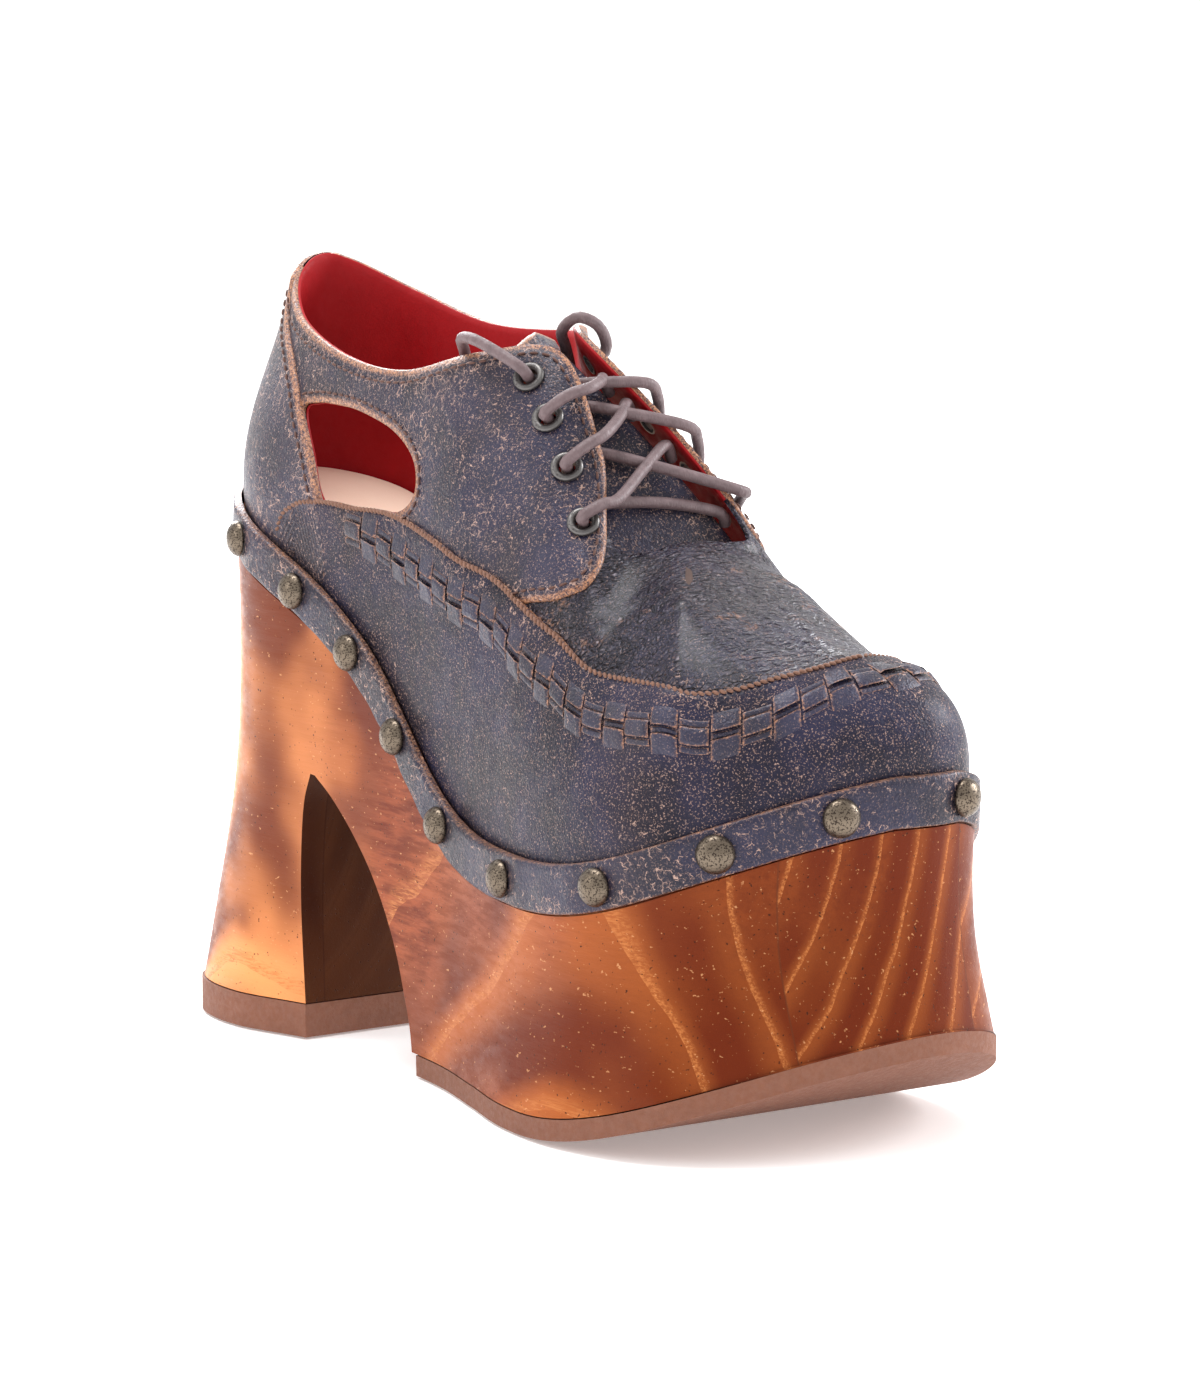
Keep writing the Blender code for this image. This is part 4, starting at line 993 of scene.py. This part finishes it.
def slab_mesh(low_grid, high_grid, low_height, high_height, rings=()):
    """Closed body between two footprint grids, its side drawn through rings from top to bottom."""
    long, wide = low_grid.shape[0] - 1, low_grid.shape[1] - 1
    levels = ((low_grid, low_height), (high_grid, high_height))
    points, faces, known = [], [], {}

    def vertex(level, i, j):
        pinched = np.allclose(levels[level][0][i, 0], levels[level][0][i, wide])
        key = (level, i, 0 if pinched else j)
        if key not in known:
            grid, height = levels[level]
            known[key] = len(points)
            points.append((*grid[i, j], float(height(grid[i, j, 0]))))
        return known[key]

    def rim(level):
        loop = [vertex(level, i, 0) for i in range(long + 1)]
        loop += [vertex(level, long, j) for j in range(1, wide)]
        loop += [vertex(level, i, wide) for i in range(long, -1, -1)]
        loop += [vertex(level, 0, j) for j in range(wide - 1, 0, -1)]
        return list(dict.fromkeys(loop))

    for level in (0, 1):
        for i in range(long):
            for j in range(wide):
                corners = [vertex(level, i, j), vertex(level, i + 1, j),
                           vertex(level, i + 1, j + 1), vertex(level, i, j + 1)]
                corners = list(dict.fromkeys(corners))
                if len(corners) > 2:
                    faces.append(corners if level else corners[::-1])
    loops = [rim(1)]
    for ring in rings:
        loops.append(list(range(len(points), len(points) + len(ring))))
        points.extend(ring)
    loops.append(rim(0))
    for over, under in zip(loops[:-1], loops[1:]):
        for k in range(len(over)):
            n = (k + 1) % len(over)
            faces.append([over[k], over[n], under[n], under[k]])
    return points, faces


def prism(name, side_points):
    """Straight prism across the shoe from an outline seen from the side."""
    count = len(side_points)
    points = [(x, y, z) for y in (-PRISM_HALF, PRISM_HALF) for x, z in side_points]
    faces = [list(range(count)), list(range(2 * count - 1, count - 1, -1))]
    faces += [[k, (k + 1) % count, count + (k + 1) % count, count + k] for k in range(count)]
    obj = add_mesh(name, points, faces, bpy.data.materials.new(name))
    face_out(obj.data)
    return obj


def face_out(mesh, merge=0.0):
    """Turn the faces outward, with points closer than a distance merged first."""
    work = bmesh.new()
    work.from_mesh(mesh)
    if merge:
        bmesh.ops.remove_doubles(work, verts=work.verts, dist=merge)
    bmesh.ops.recalc_face_normals(work, faces=work.faces)
    work.to_mesh(mesh)
    work.free()


def carve(obj, cutter, soften):
    """Take the cutter away, then round the edges it leaves."""
    face_out(obj.data)
    step = obj.modifiers.new("cut", "BOOLEAN")
    step.solver, step.operation, step.object = "EXACT", "DIFFERENCE", cutter
    bpy.context.view_layer.update()
    graph = bpy.context.evaluated_depsgraph_get()
    mesh = bpy.data.meshes.new_from_object(obj.evaluated_get(graph))
    obj.modifiers.clear()
    keep = obj.data.materials[0]
    obj.data = mesh
    mesh.materials.clear()
    mesh.materials.append(keep)
    bpy.data.objects.remove(cutter, do_unlink=True)
    mesh.polygons.foreach_set("material_index", [0] * len(mesh.polygons))
    if soften:
        bevel = obj.modifiers.new("soft_edges", "BEVEL")
        bevel.width = soften * MM
        bevel.segments = 2
        bevel.limit_method = "ANGLE"
        bevel.angle_limit = math.radians(40)
    mesh.shade_smooth()
    mesh.set_sharp_from_angle(angle=math.radians(32))


def tread_out(station):
    return wood_out(station, 0.0)


def arch_outline():
    """Arch profile with its curved run drawn smooth."""
    fixed, curve_back, curve_front = ARCH_PROFILE[:2], ARCH_PROFILE[2:7], ARCH_PROFILE[7:]
    return [*fixed, *rounded(curve_back, steps=6).tolist(), *rounded(curve_front, steps=6).tolist()]


def wood_base(x):
    return sole_bottom(x) + OUTSOLE_THICK + GAP


def build_platform(wood):
    shares = np.linspace(0, 1, 201)
    stations = rim_stations(shares)
    rim = outline(stations)
    under_rand = rand_top(rim[:, 0]) - RAND_HEIGHT
    base = wood_base(rim[:, 0])
    rings = [np.column_stack([outline(stations, -RAND_THICK - GAP), under_rand - 0.6])]
    for level in np.linspace(0.99, 0.03, 22):
        flat = outline(stations, wood_out(stations, level))
        rings.append(np.column_stack([flat, base + level * (under_rand - base)]))
    points, faces = slab_mesh(footprint(tread_out, shares), footprint(-RAND_THICK - GAP, shares),
                              wood_base, lambda x: rand_top(x) - SEAT_DROP - GAP, rings)
    block = add_mesh("carved_wood", points, faces, wood)
    carve(block, prism("arch_cutter", arch_outline()), 0.5)
    return place(block, "wood", "platform")


def rubber_slab(name, shares, cut_profile, low, high, material, node):
    points, faces = slab_mesh(footprint(tread_out, shares), footprint(tread_out, shares), low, high)
    slab = add_mesh(name, points, faces, material)
    carve(slab, prism(name + "_cutter", cut_profile), 0.35)
    return place(slab, "rubber", node)


def build_rubber(material):
    arch_top, arch_foot = ARCH_PROFILE[-2][0] + ARCH_CLEAR, ARCH_PROFILE[-1][0] + ARCH_CLEAR
    back = ((-160.0, -20.0), (-160.0, 40.0), (arch_top, 40.0), (arch_foot, -20.0))
    rubber_slab("forefoot_tread", np.linspace(HEEL_SHARE, 1, 160), back, sole_bottom,
                lambda x: sole_bottom(x) + OUTSOLE_THICK, material, "outsole_forefoot")
    front = ((HEEL_FRONT, -20.0), (HEEL_FRONT, 40.0), (60.0, 40.0), (60.0, -20.0))
    rubber_slab("heel_tread", np.linspace(0, HEEL_SHARE, 90), front, lambda x: 0.0 * x,
                lambda x: HEEL_LIFT_THICK + 0.0 * x, material, "heel_lift")


# Metal

def turned_mesh(name, profile, sides, material, closed=False):
    """Body turned about its own Z axis from (radius, height) pairs."""
    rings = []
    for radius, height in profile:
        turns = np.linspace(0, 2 * math.pi, sides, endpoint=False)
        rings.append(columns(radius * np.cos(turns), radius * np.sin(turns), height))
    if closed:
        rings.append(rings[0])
    points, faces = ring_loft(rings)
    mesh = bpy.data.meshes.new(name)
    mesh.from_pydata((points * MM).tolist(), [], faces)
    face_out(mesh, merge=0.00001)
    mesh.materials.append(material)
    mesh.shade_smooth()
    mesh.set_sharp_from_angle(angle=math.radians(50))
    return mesh


def turned_piece(name, mesh, centre, direction, slot, node):
    piece = aim(bpy.data.objects.new(name, mesh), metres(centre), Vector(direction))
    return place(piece, slot, node)


def build_studs(metal):
    radius = STUD_DIAMETER / 2
    profile = [(radius * math.sin(a), STUD_HEIGHT * (math.cos(a) - 0.05) / 0.95)
               for a in np.linspace(0.02, 1.5, 12)]
    profile += [(radius * 0.985, -0.1), (radius * 0.9, -0.25)]
    mesh = turned_mesh("dome", profile, 36, metal)
    for number, station in enumerate(stud_stations(), start=1):
        centre = stud_centre(station)
        direction = np.array([*outward(station)[0], 0.0])
        turned_piece(f"dome_{number:02d}", mesh, centre + direction * GAP, direction, "antique_brass",
                     f"stud_{number:02d}")


def build_eyelets(metal):
    outer, tube, bore = EYELET_OUTER / 2, EYELET_TUBE / 2, EYELET_HOLE / 2
    profile = [(bore, -2.0), (bore, 0.55)]
    middle, half = 0.5 * (bore + outer), 0.5 * (outer - bore)
    for a in np.linspace(math.pi * 0.9, 0.0, 9):
        profile.append((middle + half * math.cos(a), 0.35 + (EYELET_TOP - 0.35) * math.sin(a)))
    profile += [(outer, 0.1), (tube, 0.05), (tube, -2.0)]
    mesh = turned_mesh("ring", profile, 32, metal, closed=True)
    for side in SIDES:
        for number, (at, share) in enumerate(EYELETS[side], start=1):
            normal = last_normal(at, share)[0]
            centre = last_surface(at, share)[0] - normal * QUARTER_STEP
            turned_piece(f"ring_{side}_{number}", mesh, centre, normal, "eyelet_metal",
                         f"eyelet_{side}_{number}")


# Laces: how far a strand's middle lies over the facing's outer face, and under its inner one

OVER_FACING = EYELET_TOP + LACE_DIAMETER / 2 + GAP - QUARTER_STEP
UNDER_FACING = -UPPER_WALL - LACE_DIAMETER / 2 - LACE_UNDER


def strand_route(side, number):
    """From over one eyelet, across the throat, to under the other facing."""
    other = "medial" if side == "lateral" else "lateral"
    station, share = EYELETS[side][number - 1]
    here, there = THROAT_EDGE[side][number - 1], THROAT_EDGE[other][number - 2]
    over = OVER_FACING
    start = [above(station, share, lift)
             for lift in (-2.5, over - 2.2, over - (0.9 if side == "medial" else 0.0))]
    rise = above(0.5 * (station + here), 0.5 * (share + 1.0), over + LACE_LIFT[side][0])
    edge = above(here, 1.0, over + LACE_LIFT[side][1])
    gap = 0.5 * (above(here, 1.0, LACE_SAG) + above(there, 1.0, LACE_SAG))
    return [*start, rise, edge, gap, above(there, 1.0, UNDER_FACING), above(there, 0.94, UNDER_FACING)]


def add_cord(name, route, material, node):
    """Round cord along a route."""
    curve = bpy.data.curves.new(name, "CURVE")
    curve.dimensions = "3D"
    curve.bevel_depth = LACE_DIAMETER / 2 * MM
    curve.bevel_resolution = 4
    curve.use_fill_caps = True
    spline = curve.splines.new("POLY")
    spline.points.add(len(route) - 1)
    for point, where in zip(spline.points, metres(route)):
        point.co = (*where, 1.0)
    spline.use_smooth = True
    curve.materials.append(material)
    obj = bpy.data.objects.new(name, curve)
    link(obj)
    return place(obj, "lace_cord", node)


def build_laces(material):
    for number in (2, 3, 4):
        for side in SIDES:
            route = smooth_route(strand_route(side, number), 1.2)
            add_cord(f"lace_{side}_{number}", route, material, f"lace_crossing_{number - 1}")
    near = [above(BAR_STATION["lateral"], share, UNDER_FACING) for share in (0.93, 0.985)]
    far = [above(BAR_STATION["medial"], share, UNDER_FACING) for share in (0.985, 0.93)]
    middle = 0.5 * (near[1] + far[0]) + RIDGE_UP * BAR_RISE
    add_cord("lace_lowest", smooth_route(near + [middle] + far, 2.0), material, "lace_bar")


def lace_end_route(side):
    """From the top eyelet over the collar's edge and down inside."""
    station, share = EYELETS[side][0]
    back = -2.0 if side == "lateral" else 0.35
    start = [above(station, share, lift) for lift in (-2.5, OVER_FACING)]
    rest = [above(station + max(back * run, -1.05), height, lift) for run, height, lift in LACE_END]
    return smooth_route(start + rest, 6.0)


def build_lace_ends(material):
    for side in SIDES:
        fine = smooth_route(lace_end_route(side), 1.5)
        cord = add_cord(f"lace_tail_{side}", fine, material, f"lace_end_{side}")


# Materials

class Shader:
    """A material's nodes, added one by one; places are in millimetres."""

    def __init__(self, name, settings=()):
        self.material = bpy.data.materials.new(name)
        self.material.use_nodes = True
        self.tree = self.material.node_tree
        self.main = self.tree.nodes["Principled BSDF"]
        for socket, value in dict(settings).items():
            self.set(self.main.inputs[socket], value)
        metres_place = self.node("TexCoord", "Object")
        self.place = self.node("VectorMath", 0, {0: metres_place, "Scale": 1000.0}, operation="SCALE")

    def set(self, socket, value):
        if isinstance(value, bpy.types.NodeSocket):
            self.tree.links.new(value, socket)
        elif socket.type == "RGBA":
            socket.default_value = (*value, 1.0)
        else:
            socket.default_value = value

    def node(self, kind, output, inputs=(), **settings):
        """Add a node, fill its inputs with numbers or links, and hand back one output."""
        node = self.tree.nodes.new("ShaderNode" + kind)
        for key, value in settings.items():
            setattr(node, key, value)
        for key, value in dict(inputs).items():
            self.set(node.inputs[key], value)
        return node.outputs[output]

    def math(self, operation, *values, clamp=False):
        return self.node("Math", 0, enumerate(values), operation=operation, use_clamp=clamp)

    def times(self, first, second):
        return self.math("MULTIPLY", first, second)

    def plus(self, first, second):
        return self.math("ADD", first, second)

    def stretch(self, x, y, z, vector=None):
        return self.node("VectorMath", 0, {0: vector or self.place, 1: (x, y, z)}, operation="MULTIPLY")

    def shift(self, vector, amount):
        return self.node("VectorMath", 0, {0: vector, 1: amount}, operation="ADD")

    def noise(self, scale, detail=3.0, rough=0.55, vector=None, output="Fac"):
        inputs = {"Vector": vector or self.place, "Scale": scale, "Detail": detail, "Roughness": rough}
        return self.node("TexNoise", output, inputs)

    def cells(self, scale, vector=None, feature="DISTANCE_TO_EDGE"):
        inputs = {"Vector": vector or self.place, "Scale": scale}
        return self.node("TexVoronoi", "Distance", inputs, feature=feature)

    def fade(self, value, start, end, low=0.0, high=1.0):
        """Smooth step from low at start to high at end."""
        inputs = {"Value": value, "From Min": start, "From Max": end, "To Min": low, "To Max": high}
        return self.node("MapRange", "Result", inputs, interpolation_type="SMOOTHSTEP")

    def mix(self, factor, first, second):
        return self.node("Mix", 2, {0: factor, 6: first, 7: second}, data_type="RGBA")

    def split(self, vector):
        return self.node("SeparateXYZ", 0, {0: vector}).node.outputs

    def bump(self, height, distance, strength=1.0, under=None):
        inputs = {"Strength": strength, "Distance": distance * MM, "Height": height}
        if under:
            inputs["Normal"] = under
        return self.node("Bump", "Normal", inputs)

    def finish(self, colour, normal=None, roughness=None):
        for socket, value in (("Base Color", colour), ("Normal", normal), ("Roughness", roughness)):
            if value is not None:
                self.set(self.main.inputs[socket], value)
        return self.material


NAVY = (0.017, 0.016, 0.040)
NAVY_DEEP = (0.006, 0.005, 0.011)
CRACK = (0.74, 0.50, 0.40)
CRACK_DARK = (0.22, 0.11, 0.085)
TAN = (0.54, 0.26, 0.135)
TAN_DARK = (0.13, 0.05, 0.03)
RIDGE_HIGHLIGHT = (0.20, 0.17, 0.19)


def leather_material(name, crackle=0.5, wrinkle=0.0, gloss=0.4, band=1.1, dust=0.3, near=0.14, shine=0.5):
    """Dark waxed leather, worn through to tan in broken fine cracks and along its edges; where it wrinkles,
    the fold crests carry a painted highlight.
    """
    s = Shader(name, {"Coat Weight": 0.08 + 0.22 * gloss, "Coat Roughness": 0.24,
                      "Specular Tint": (0.82, 0.80, 1.0), "Specular IOR Level": shine})
    warp = s.noise(0.5, output="Color")
    bent = s.shift(s.place, s.stretch(1.8, 1.8, 1.8, warp))
    coarse = s.cells(0.42, bent)
    fine = s.cells(0.9, bent)
    edge = s.node("Attribute", "Fac", attribute_name="edge")
    patches = s.noise(0.06, 4.0, 0.7)
    broken = s.noise(0.75, 2.0, 0.6)
    near_edge = s.fade(edge, 8.0, 0.5, 0.0, near)
    evened = s.math("MULTIPLY_ADD", patches, 0.65, 0.175)
    amount = s.plus(s.plus(evened, near_edge), broken)
    shown = s.fade(amount, 1.32 - 0.42 * crackle, 1.38 - 0.42 * crackle)
    coarse_line = s.fade(coarse, 0.042, 0.018)
    fine_line = s.fade(fine, 0.045, 0.018)
    lines = s.math("MAXIMUM", coarse_line, s.times(fine_line, 0.5))
    specks = s.fade(s.noise(2.3, 2.0, 0.7), 0.56, 0.69, 0.0, dust)
    cracks = s.math("MAXIMUM", s.times(lines, s.times(shown, 0.85)), specks, clamp=True)
    wavering = s.plus(edge, s.times(s.noise(1.1, 3.0, 0.75), 1.8))
    bare = s.fade(wavering, band + 1.5, band + 0.5)
    body = s.mix(s.fade(s.noise(0.05, 4.0, 0.6), 0.35, 0.68), NAVY_DEEP, NAVY)
    haze = s.fade(s.noise(0.022), 0.45, 0.72, 0.0, 0.3)
    body = s.mix(haze, body, (0.040, 0.024, 0.026))
    tan = s.mix(s.fade(s.noise(1.6, 3.0, 0.75), 0.36, 0.60), TAN_DARK, TAN)
    scuffs = s.times(bare, s.fade(s.noise(1.9, 3.0, 0.75), 0.59, 0.49, 0.06, 1.0))
    colour = s.mix(cracks, body, s.mix(s.noise(0.9), CRACK_DARK, CRACK))
    colour = s.mix(scuffs, colour, tan)
    if wrinkle:
        rubbed = s.fade(s.noise(0.09, 5.0, 0.75, s.stretch(1.0, 0.6, 1.0)), 0.56, 0.67, 0.0, 0.6)
        colour = s.mix(s.times(rubbed, s.fade(broken, 0.42, 0.56)), colour, tan)
    grain = s.cells(1.3, bent, "F1")
    rough = s.fade(s.noise(0.4), 0.3, 0.7, 0.44 - 0.18 * gloss, 0.60 - 0.18 * gloss)
    normal = s.bump(grain, 0.22, 0.8)
    normal = s.bump(s.times(lines, s.fade(shown, 0.0, 1.0, 0.3, 1.0)), -0.14, 0.8, normal)
    if wrinkle:
        folds = s.cells(0.34, s.shift(s.stretch(1.0, 0.45, 1.0), s.stretch(1.6, 1.6, 1.6, warp)))
        fine_folds = s.cells(0.8, s.shift(s.stretch(1.0, 0.35, 1.0), s.stretch(0.9, 0.9, 0.9, warp)))
        ridges = s.times(s.fade(fine_folds, 0.16, 0.42), s.fade(folds, 0.08, 0.3, 0.35, 1.0))
        # Painted highlight: the fold crests, in patches, are mixed toward a pale grey
        worn = s.times(ridges, s.fade(s.noise(0.3, 4.0, 0.7), 0.40, 0.62, 0.1, 0.9))
        colour = s.mix(worn, colour, RIDGE_HIGHLIGHT)
        normal = s.bump(s.fade(folds, 0.0, 0.32), 0.9 * wrinkle, 0.9, normal)
        normal = s.bump(s.fade(fine_folds, 0.0, 0.35), 0.75 * wrinkle, 1.0, normal)
    normal = s.bump(s.noise(0.16), 0.7, 0.4, normal)
    return s.finish(colour, normal, rough)


def lining_material(name, colour, dark):
    s = Shader(name, {"Specular IOR Level": 0.2})
    normal = s.bump(s.noise(1.8), 0.12, 0.4)
    return s.finish(s.mix(s.noise(0.08), dark, colour), normal, s.fade(s.noise(0.5), 0.3, 0.7, 0.5, 0.7))


# Boards glued side by side: where each seam lies, and the middle of each board's growth rings
SEAM_Y = (-19.5, 24.0)
RING_Y = (357.0, -73.0, -40.0)
RING_Z = (96.0, 66.0, 84.0)
RING_WIDTH = (15.0, 9.0, 12.0)
BOARD_SHIFT = 37.0


def wood_material():
    """Stained pine: soft dark bands, pale streaks, fine pores and the glued boards, with painted light on
    the heel end and painted shade on the toe end, the arch's heel face and the undersides.
    """
    s = Shader("stained_pine", {"Coat Weight": 0.05, "Coat Roughness": 0.3, "Specular IOR Level": 0.12,
                                "Specular Tint": (1.0, 0.62, 0.42)})
    x, y, z = s.split(s.place)
    second, third = [s.math("GREATER_THAN", y, seam) for seam in SEAM_Y]

    def of_board(values):
        value = s.math("MULTIPLY_ADD", second, values[1] - values[0], values[0])
        return s.math("MULTIPLY_ADD", third, values[2] - values[1], value)

    across_rings = s.math("SUBTRACT", y, of_board(RING_Y))
    height = s.math("SUBTRACT", z, of_board(RING_Z))
    radius = s.math("SQRT", s.math("MULTIPLY_ADD", across_rings, across_rings, s.times(height, height)))
    board = s.node("CombineXYZ", 0, {0: s.times(s.plus(second, third), BOARD_SHIFT)})
    moved = s.shift(s.place, board)
    radius = s.plus(radius, s.times(s.noise(0.008, 1.0, 0.5, moved), 30.0))
    radius = s.plus(radius, s.times(s.noise(0.07, 2.0, 0.5, moved), 1.6))
    phase = s.math("FRACT", s.math("DIVIDE", radius, of_board(RING_WIDTH)))
    late = s.times(s.fade(phase, 0.0, 0.45), s.fade(phase, 0.95, 0.72))
    depth = s.fade(s.noise(0.022, 2.0, 0.5, moved), 0.36, 0.62, 0.2, 0.95)
    grain = s.noise(0.5, 4.0, 0.65, s.stretch(0.10, 1.0, 1.0, moved))
    fine = s.noise(2.0, 3.0, 0.7, s.stretch(0.05, 1.0, 1.0, moved))
    pale = s.times(s.fade(phase, 0.88, 0.97), s.fade(fine, 0.42, 0.62, 0.15, 0.8))
    pores = s.fade(s.noise(1.1, 2.0, 0.6, s.stretch(0.5, 1.0, 1.0)), 0.66, 0.74)
    pits = s.fade(s.noise(1.3, 1.0, 0.5, s.shift(s.place, (40.0, 7.0, 3.0))), 0.72, 0.77)
    colour = s.mix(s.fade(grain, 0.35, 0.65), (0.29, 0.056, 0.010), (0.14, 0.021, 0.005))
    layers = [(s.fade(s.noise(0.02, 2.0, 0.5, moved), 0.35, 0.62, 0.0, 0.8), (0.42, 0.112, 0.026)),
              # Painted light: the heel end of the wood is lightened toward the back
              (s.fade(x, -25.0, -80.0, 0.0, 0.8), (0.98, 0.37, 0.13)),
              # Painted shade: the toe end of the wood is darkened toward the front
              (s.fade(x, 60.0, 105.0, 0.0, 0.65), (0.13, 0.023, 0.006)),
              (s.times(late, depth), (0.115, 0.015, 0.004)),
              (pale, (0.50, 0.17, 0.05)),
              (s.times(pores, 0.6), (0.65, 0.32, 0.14)),
              (pits, (0.05, 0.014, 0.007))]
    for seam in SEAM_Y:
        line = s.fade(s.math("ABSOLUTE", s.math("SUBTRACT", y, seam)), 0.28, 0.08, 0.0, 0.6)
        layers.append((line, (0.10, 0.025, 0.01)))
    # Painted shade: faces turned forward behind the arch, and faces turned down, are darkened
    forward, _, upward = s.split(s.node("NewGeometry", "Normal"))
    painted_shade = s.times(s.fade(forward, 0.35, 0.8), s.fade(x, -15.0, -35.0))
    painted_shade = s.math("MAXIMUM", painted_shade, s.fade(upward, -0.25, -0.6), clamp=True)
    layers.append((s.times(painted_shade, 0.94), (0.026, 0.005, 0.002)))
    for share, layer in layers:
        colour = s.mix(share, colour, layer)
    normal = s.bump(s.plus(fine, s.times(late, 0.6)), 0.12, 0.5)
    return s.finish(colour, s.bump(pits, -0.4, 0.8, normal), s.fade(grain, 0.3, 0.7, 0.34, 0.50))


def rubber_material():
    s = Shader("brown_rubber")
    tone = s.mix(s.noise(0.25, 4.0, 0.7), (0.15, 0.052, 0.028), (0.23, 0.088, 0.048))
    normal = s.bump(s.noise(1.2, 4.0, 0.75), 0.25, 0.7)
    return s.finish(tone, normal, s.fade(s.noise(0.8), 0.3, 0.7, 0.62, 0.85))


def metal_material(name, bright, dark, rough, spots):
    s = Shader(name, {"Metallic": 0.9})
    worn = s.fade(s.noise(2.2, 2.0, 0.6), 0.46 - spots, 0.54 - spots)
    colour = s.mix(worn, dark, bright)
    colour = s.mix(s.fade(s.noise(0.12), 0.35, 0.65, 0.0, 0.35), colour, dark)
    normal = s.bump(s.noise(1.6, 3.0, 0.6), 0.035, 0.4)
    return s.finish(colour, normal, s.fade(worn, 0.0, 1.0, rough + 0.25, rough))


def thread_material(name, colour, dark):
    s = Shader(name)
    return s.finish(s.mix(s.noise(1.3, 3.0, 0.7), dark, colour), s.bump(s.noise(4.0, 2.0), 0.1, 0.5), 0.7)


def lace_material():
    s = Shader("waxed_cord")
    strands = s.cells(2.2, s.stretch(1.0, 1.0, 0.45), "F1")
    tone = s.mix(s.noise(0.5, 3.0, 0.6), (0.075, 0.046, 0.050), (0.21, 0.145, 0.15))
    return s.finish(tone, s.bump(strands, 0.16, 0.6), s.fade(s.noise(0.9), 0.3, 0.7, 0.42, 0.62))


# Stage

FLOOR_HALF = 40.0
FLOOR_LEVEL = -0.0006
LIGHT_AIM = (0.0, 0.0, 0.09)
LIGHTS = (
    ("window_left", (-0.6, -1.5, 0.8), 0.9, 5.0, (1.0, 0.99, 0.98)),
    ("window_right", (0.5, 1.4, 0.7), 0.7, 20.0, (0.97, 0.98, 1.0)),
    ("window_back", (-1.45, 0.55, 0.9), 0.8, 31.0, (0.97, 0.98, 1.0)),
    ("window_top", (-0.25, -0.15, 1.5), 0.8, 16.0, (1.0, 1.0, 1.0)),
)


def build_stage():
    scene = bpy.context.scene
    scene.view_settings.view_transform = "Standard"
    scene.world = bpy.data.worlds.new("studio")
    scene.world.use_nodes = True
    background = scene.world.node_tree.nodes["Background"]
    background.inputs["Color"].default_value = (1.0, 1.0, 1.0, 1.0)
    background.inputs["Strength"].default_value = 1.02
    mesh = bpy.data.meshes.new("floor")
    corners = [(-FLOOR_HALF, -FLOOR_HALF), (FLOOR_HALF, -FLOOR_HALF), (FLOOR_HALF, FLOOR_HALF),
               (-FLOOR_HALF, FLOOR_HALF)]
    mesh.from_pydata([(x, y, FLOOR_LEVEL) for x, y in corners], [], [(0, 1, 2, 3)])
    floor = bpy.data.objects.new("floor", mesh)
    link(floor)
    shade = Shader("pale_floor", {"Roughness": 0.85, "Emission Color": (1.0, 0.92, 0.90),
                                  "Emission Strength": 0.30})
    mesh.materials.append(shade.finish((0.93, 0.93, 0.93)))
    for name, where, size, power, colour in LIGHTS:
        light = bpy.data.lights.new(name, "AREA")
        light.size, light.energy, light.color = size, power, colour
        aim(bpy.data.objects.new(name, light), where, Vector(where) - Vector(LIGHT_AIM))


def build_camera():
    camera = bpy.data.cameras.new("photo_camera")
    camera.sensor_fit = "VERTICAL"
    camera.sensor_height = 36.0
    camera.lens = CAMERA_LENS
    turn, rise = math.radians(CAMERA_TURN), math.radians(CAMERA_RISE)
    back = Vector((math.cos(turn) * math.cos(rise), -math.sin(turn) * math.cos(rise), math.sin(rise)))
    where = (Vector(CAMERA_AIM) + back * CAMERA_DISTANCE) * MM
    bpy.context.scene.camera = aim(bpy.data.objects.new("photo_camera", camera), where, back)


def main():
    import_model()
    build_camera()
    build_stage()
    panel_leather = leather_material("worn_leather", crackle=0.62, dust=0.6, shine=0.36)
    counter_leather = leather_material("counter_leather", crackle=0.7, dust=0.45)
    smooth_leather = leather_material("mudguard_leather", crackle=0.35, gloss=0.2, band=0.1, dust=0.7,
                                      shine=0.22)
    apron_leather = leather_material("apron_leather", crackle=0.35, wrinkle=1.1, gloss=0.85, band=-3.0,
                                     dust=0.45, shine=0.36)
    strip_leather = leather_material("rand_leather", crackle=0.6, band=-0.1, near=0.05, dust=0.3, shine=0.35)
    thread = thread_material("dark_thread", (0.16, 0.07, 0.05), (0.05, 0.02, 0.015))
    tan_thread = thread_material("tan_thread", (0.30, 0.145, 0.09), (0.09, 0.04, 0.028))
    red = lining_material("red_lining", (0.40, 0.010, 0.014), (0.27, 0.005, 0.008))
    dark = lining_material("dark_lining", (0.10, 0.06, 0.05), (0.06, 0.04, 0.035))
    # Painted light: the insole's colour is brightened to near white to stand in for light reaching inside
    # the shoe
    pale = lining_material("insole_painted_light", (1.0, 0.80, 0.64), (0.95, 0.72, 0.56))
    wood = wood_material()
    rubber = rubber_material()
    brass = metal_material("antique_brass", (0.18, 0.142, 0.105), (0.045, 0.033, 0.026), 0.32, 0.05)
    iron = metal_material("dark_metal", (0.16, 0.15, 0.145), (0.07, 0.065, 0.065), 0.35, 0.10)
    lace = lace_material()

    build_platform(wood)
    build_rubber(rubber)
    build_rand(strip_leather)
    build_studs(brass)
    build_insole(pale)
    build_counter(counter_leather)
    for side in SIDES:
        build_quarter(side, panel_leather)
    build_vamp(apron_leather)
    build_mudguard(smooth_leather)
    build_lining(red, dark)
    build_weave(leather_material("strip_leather", crackle=0.35, band=0.1, near=0.0))
    build_stitches(thread, tan_thread)
    build_tongue(panel_leather)
    build_eyelets(iron)
    build_laces(lace)
    build_lace_ends(lace)


main()
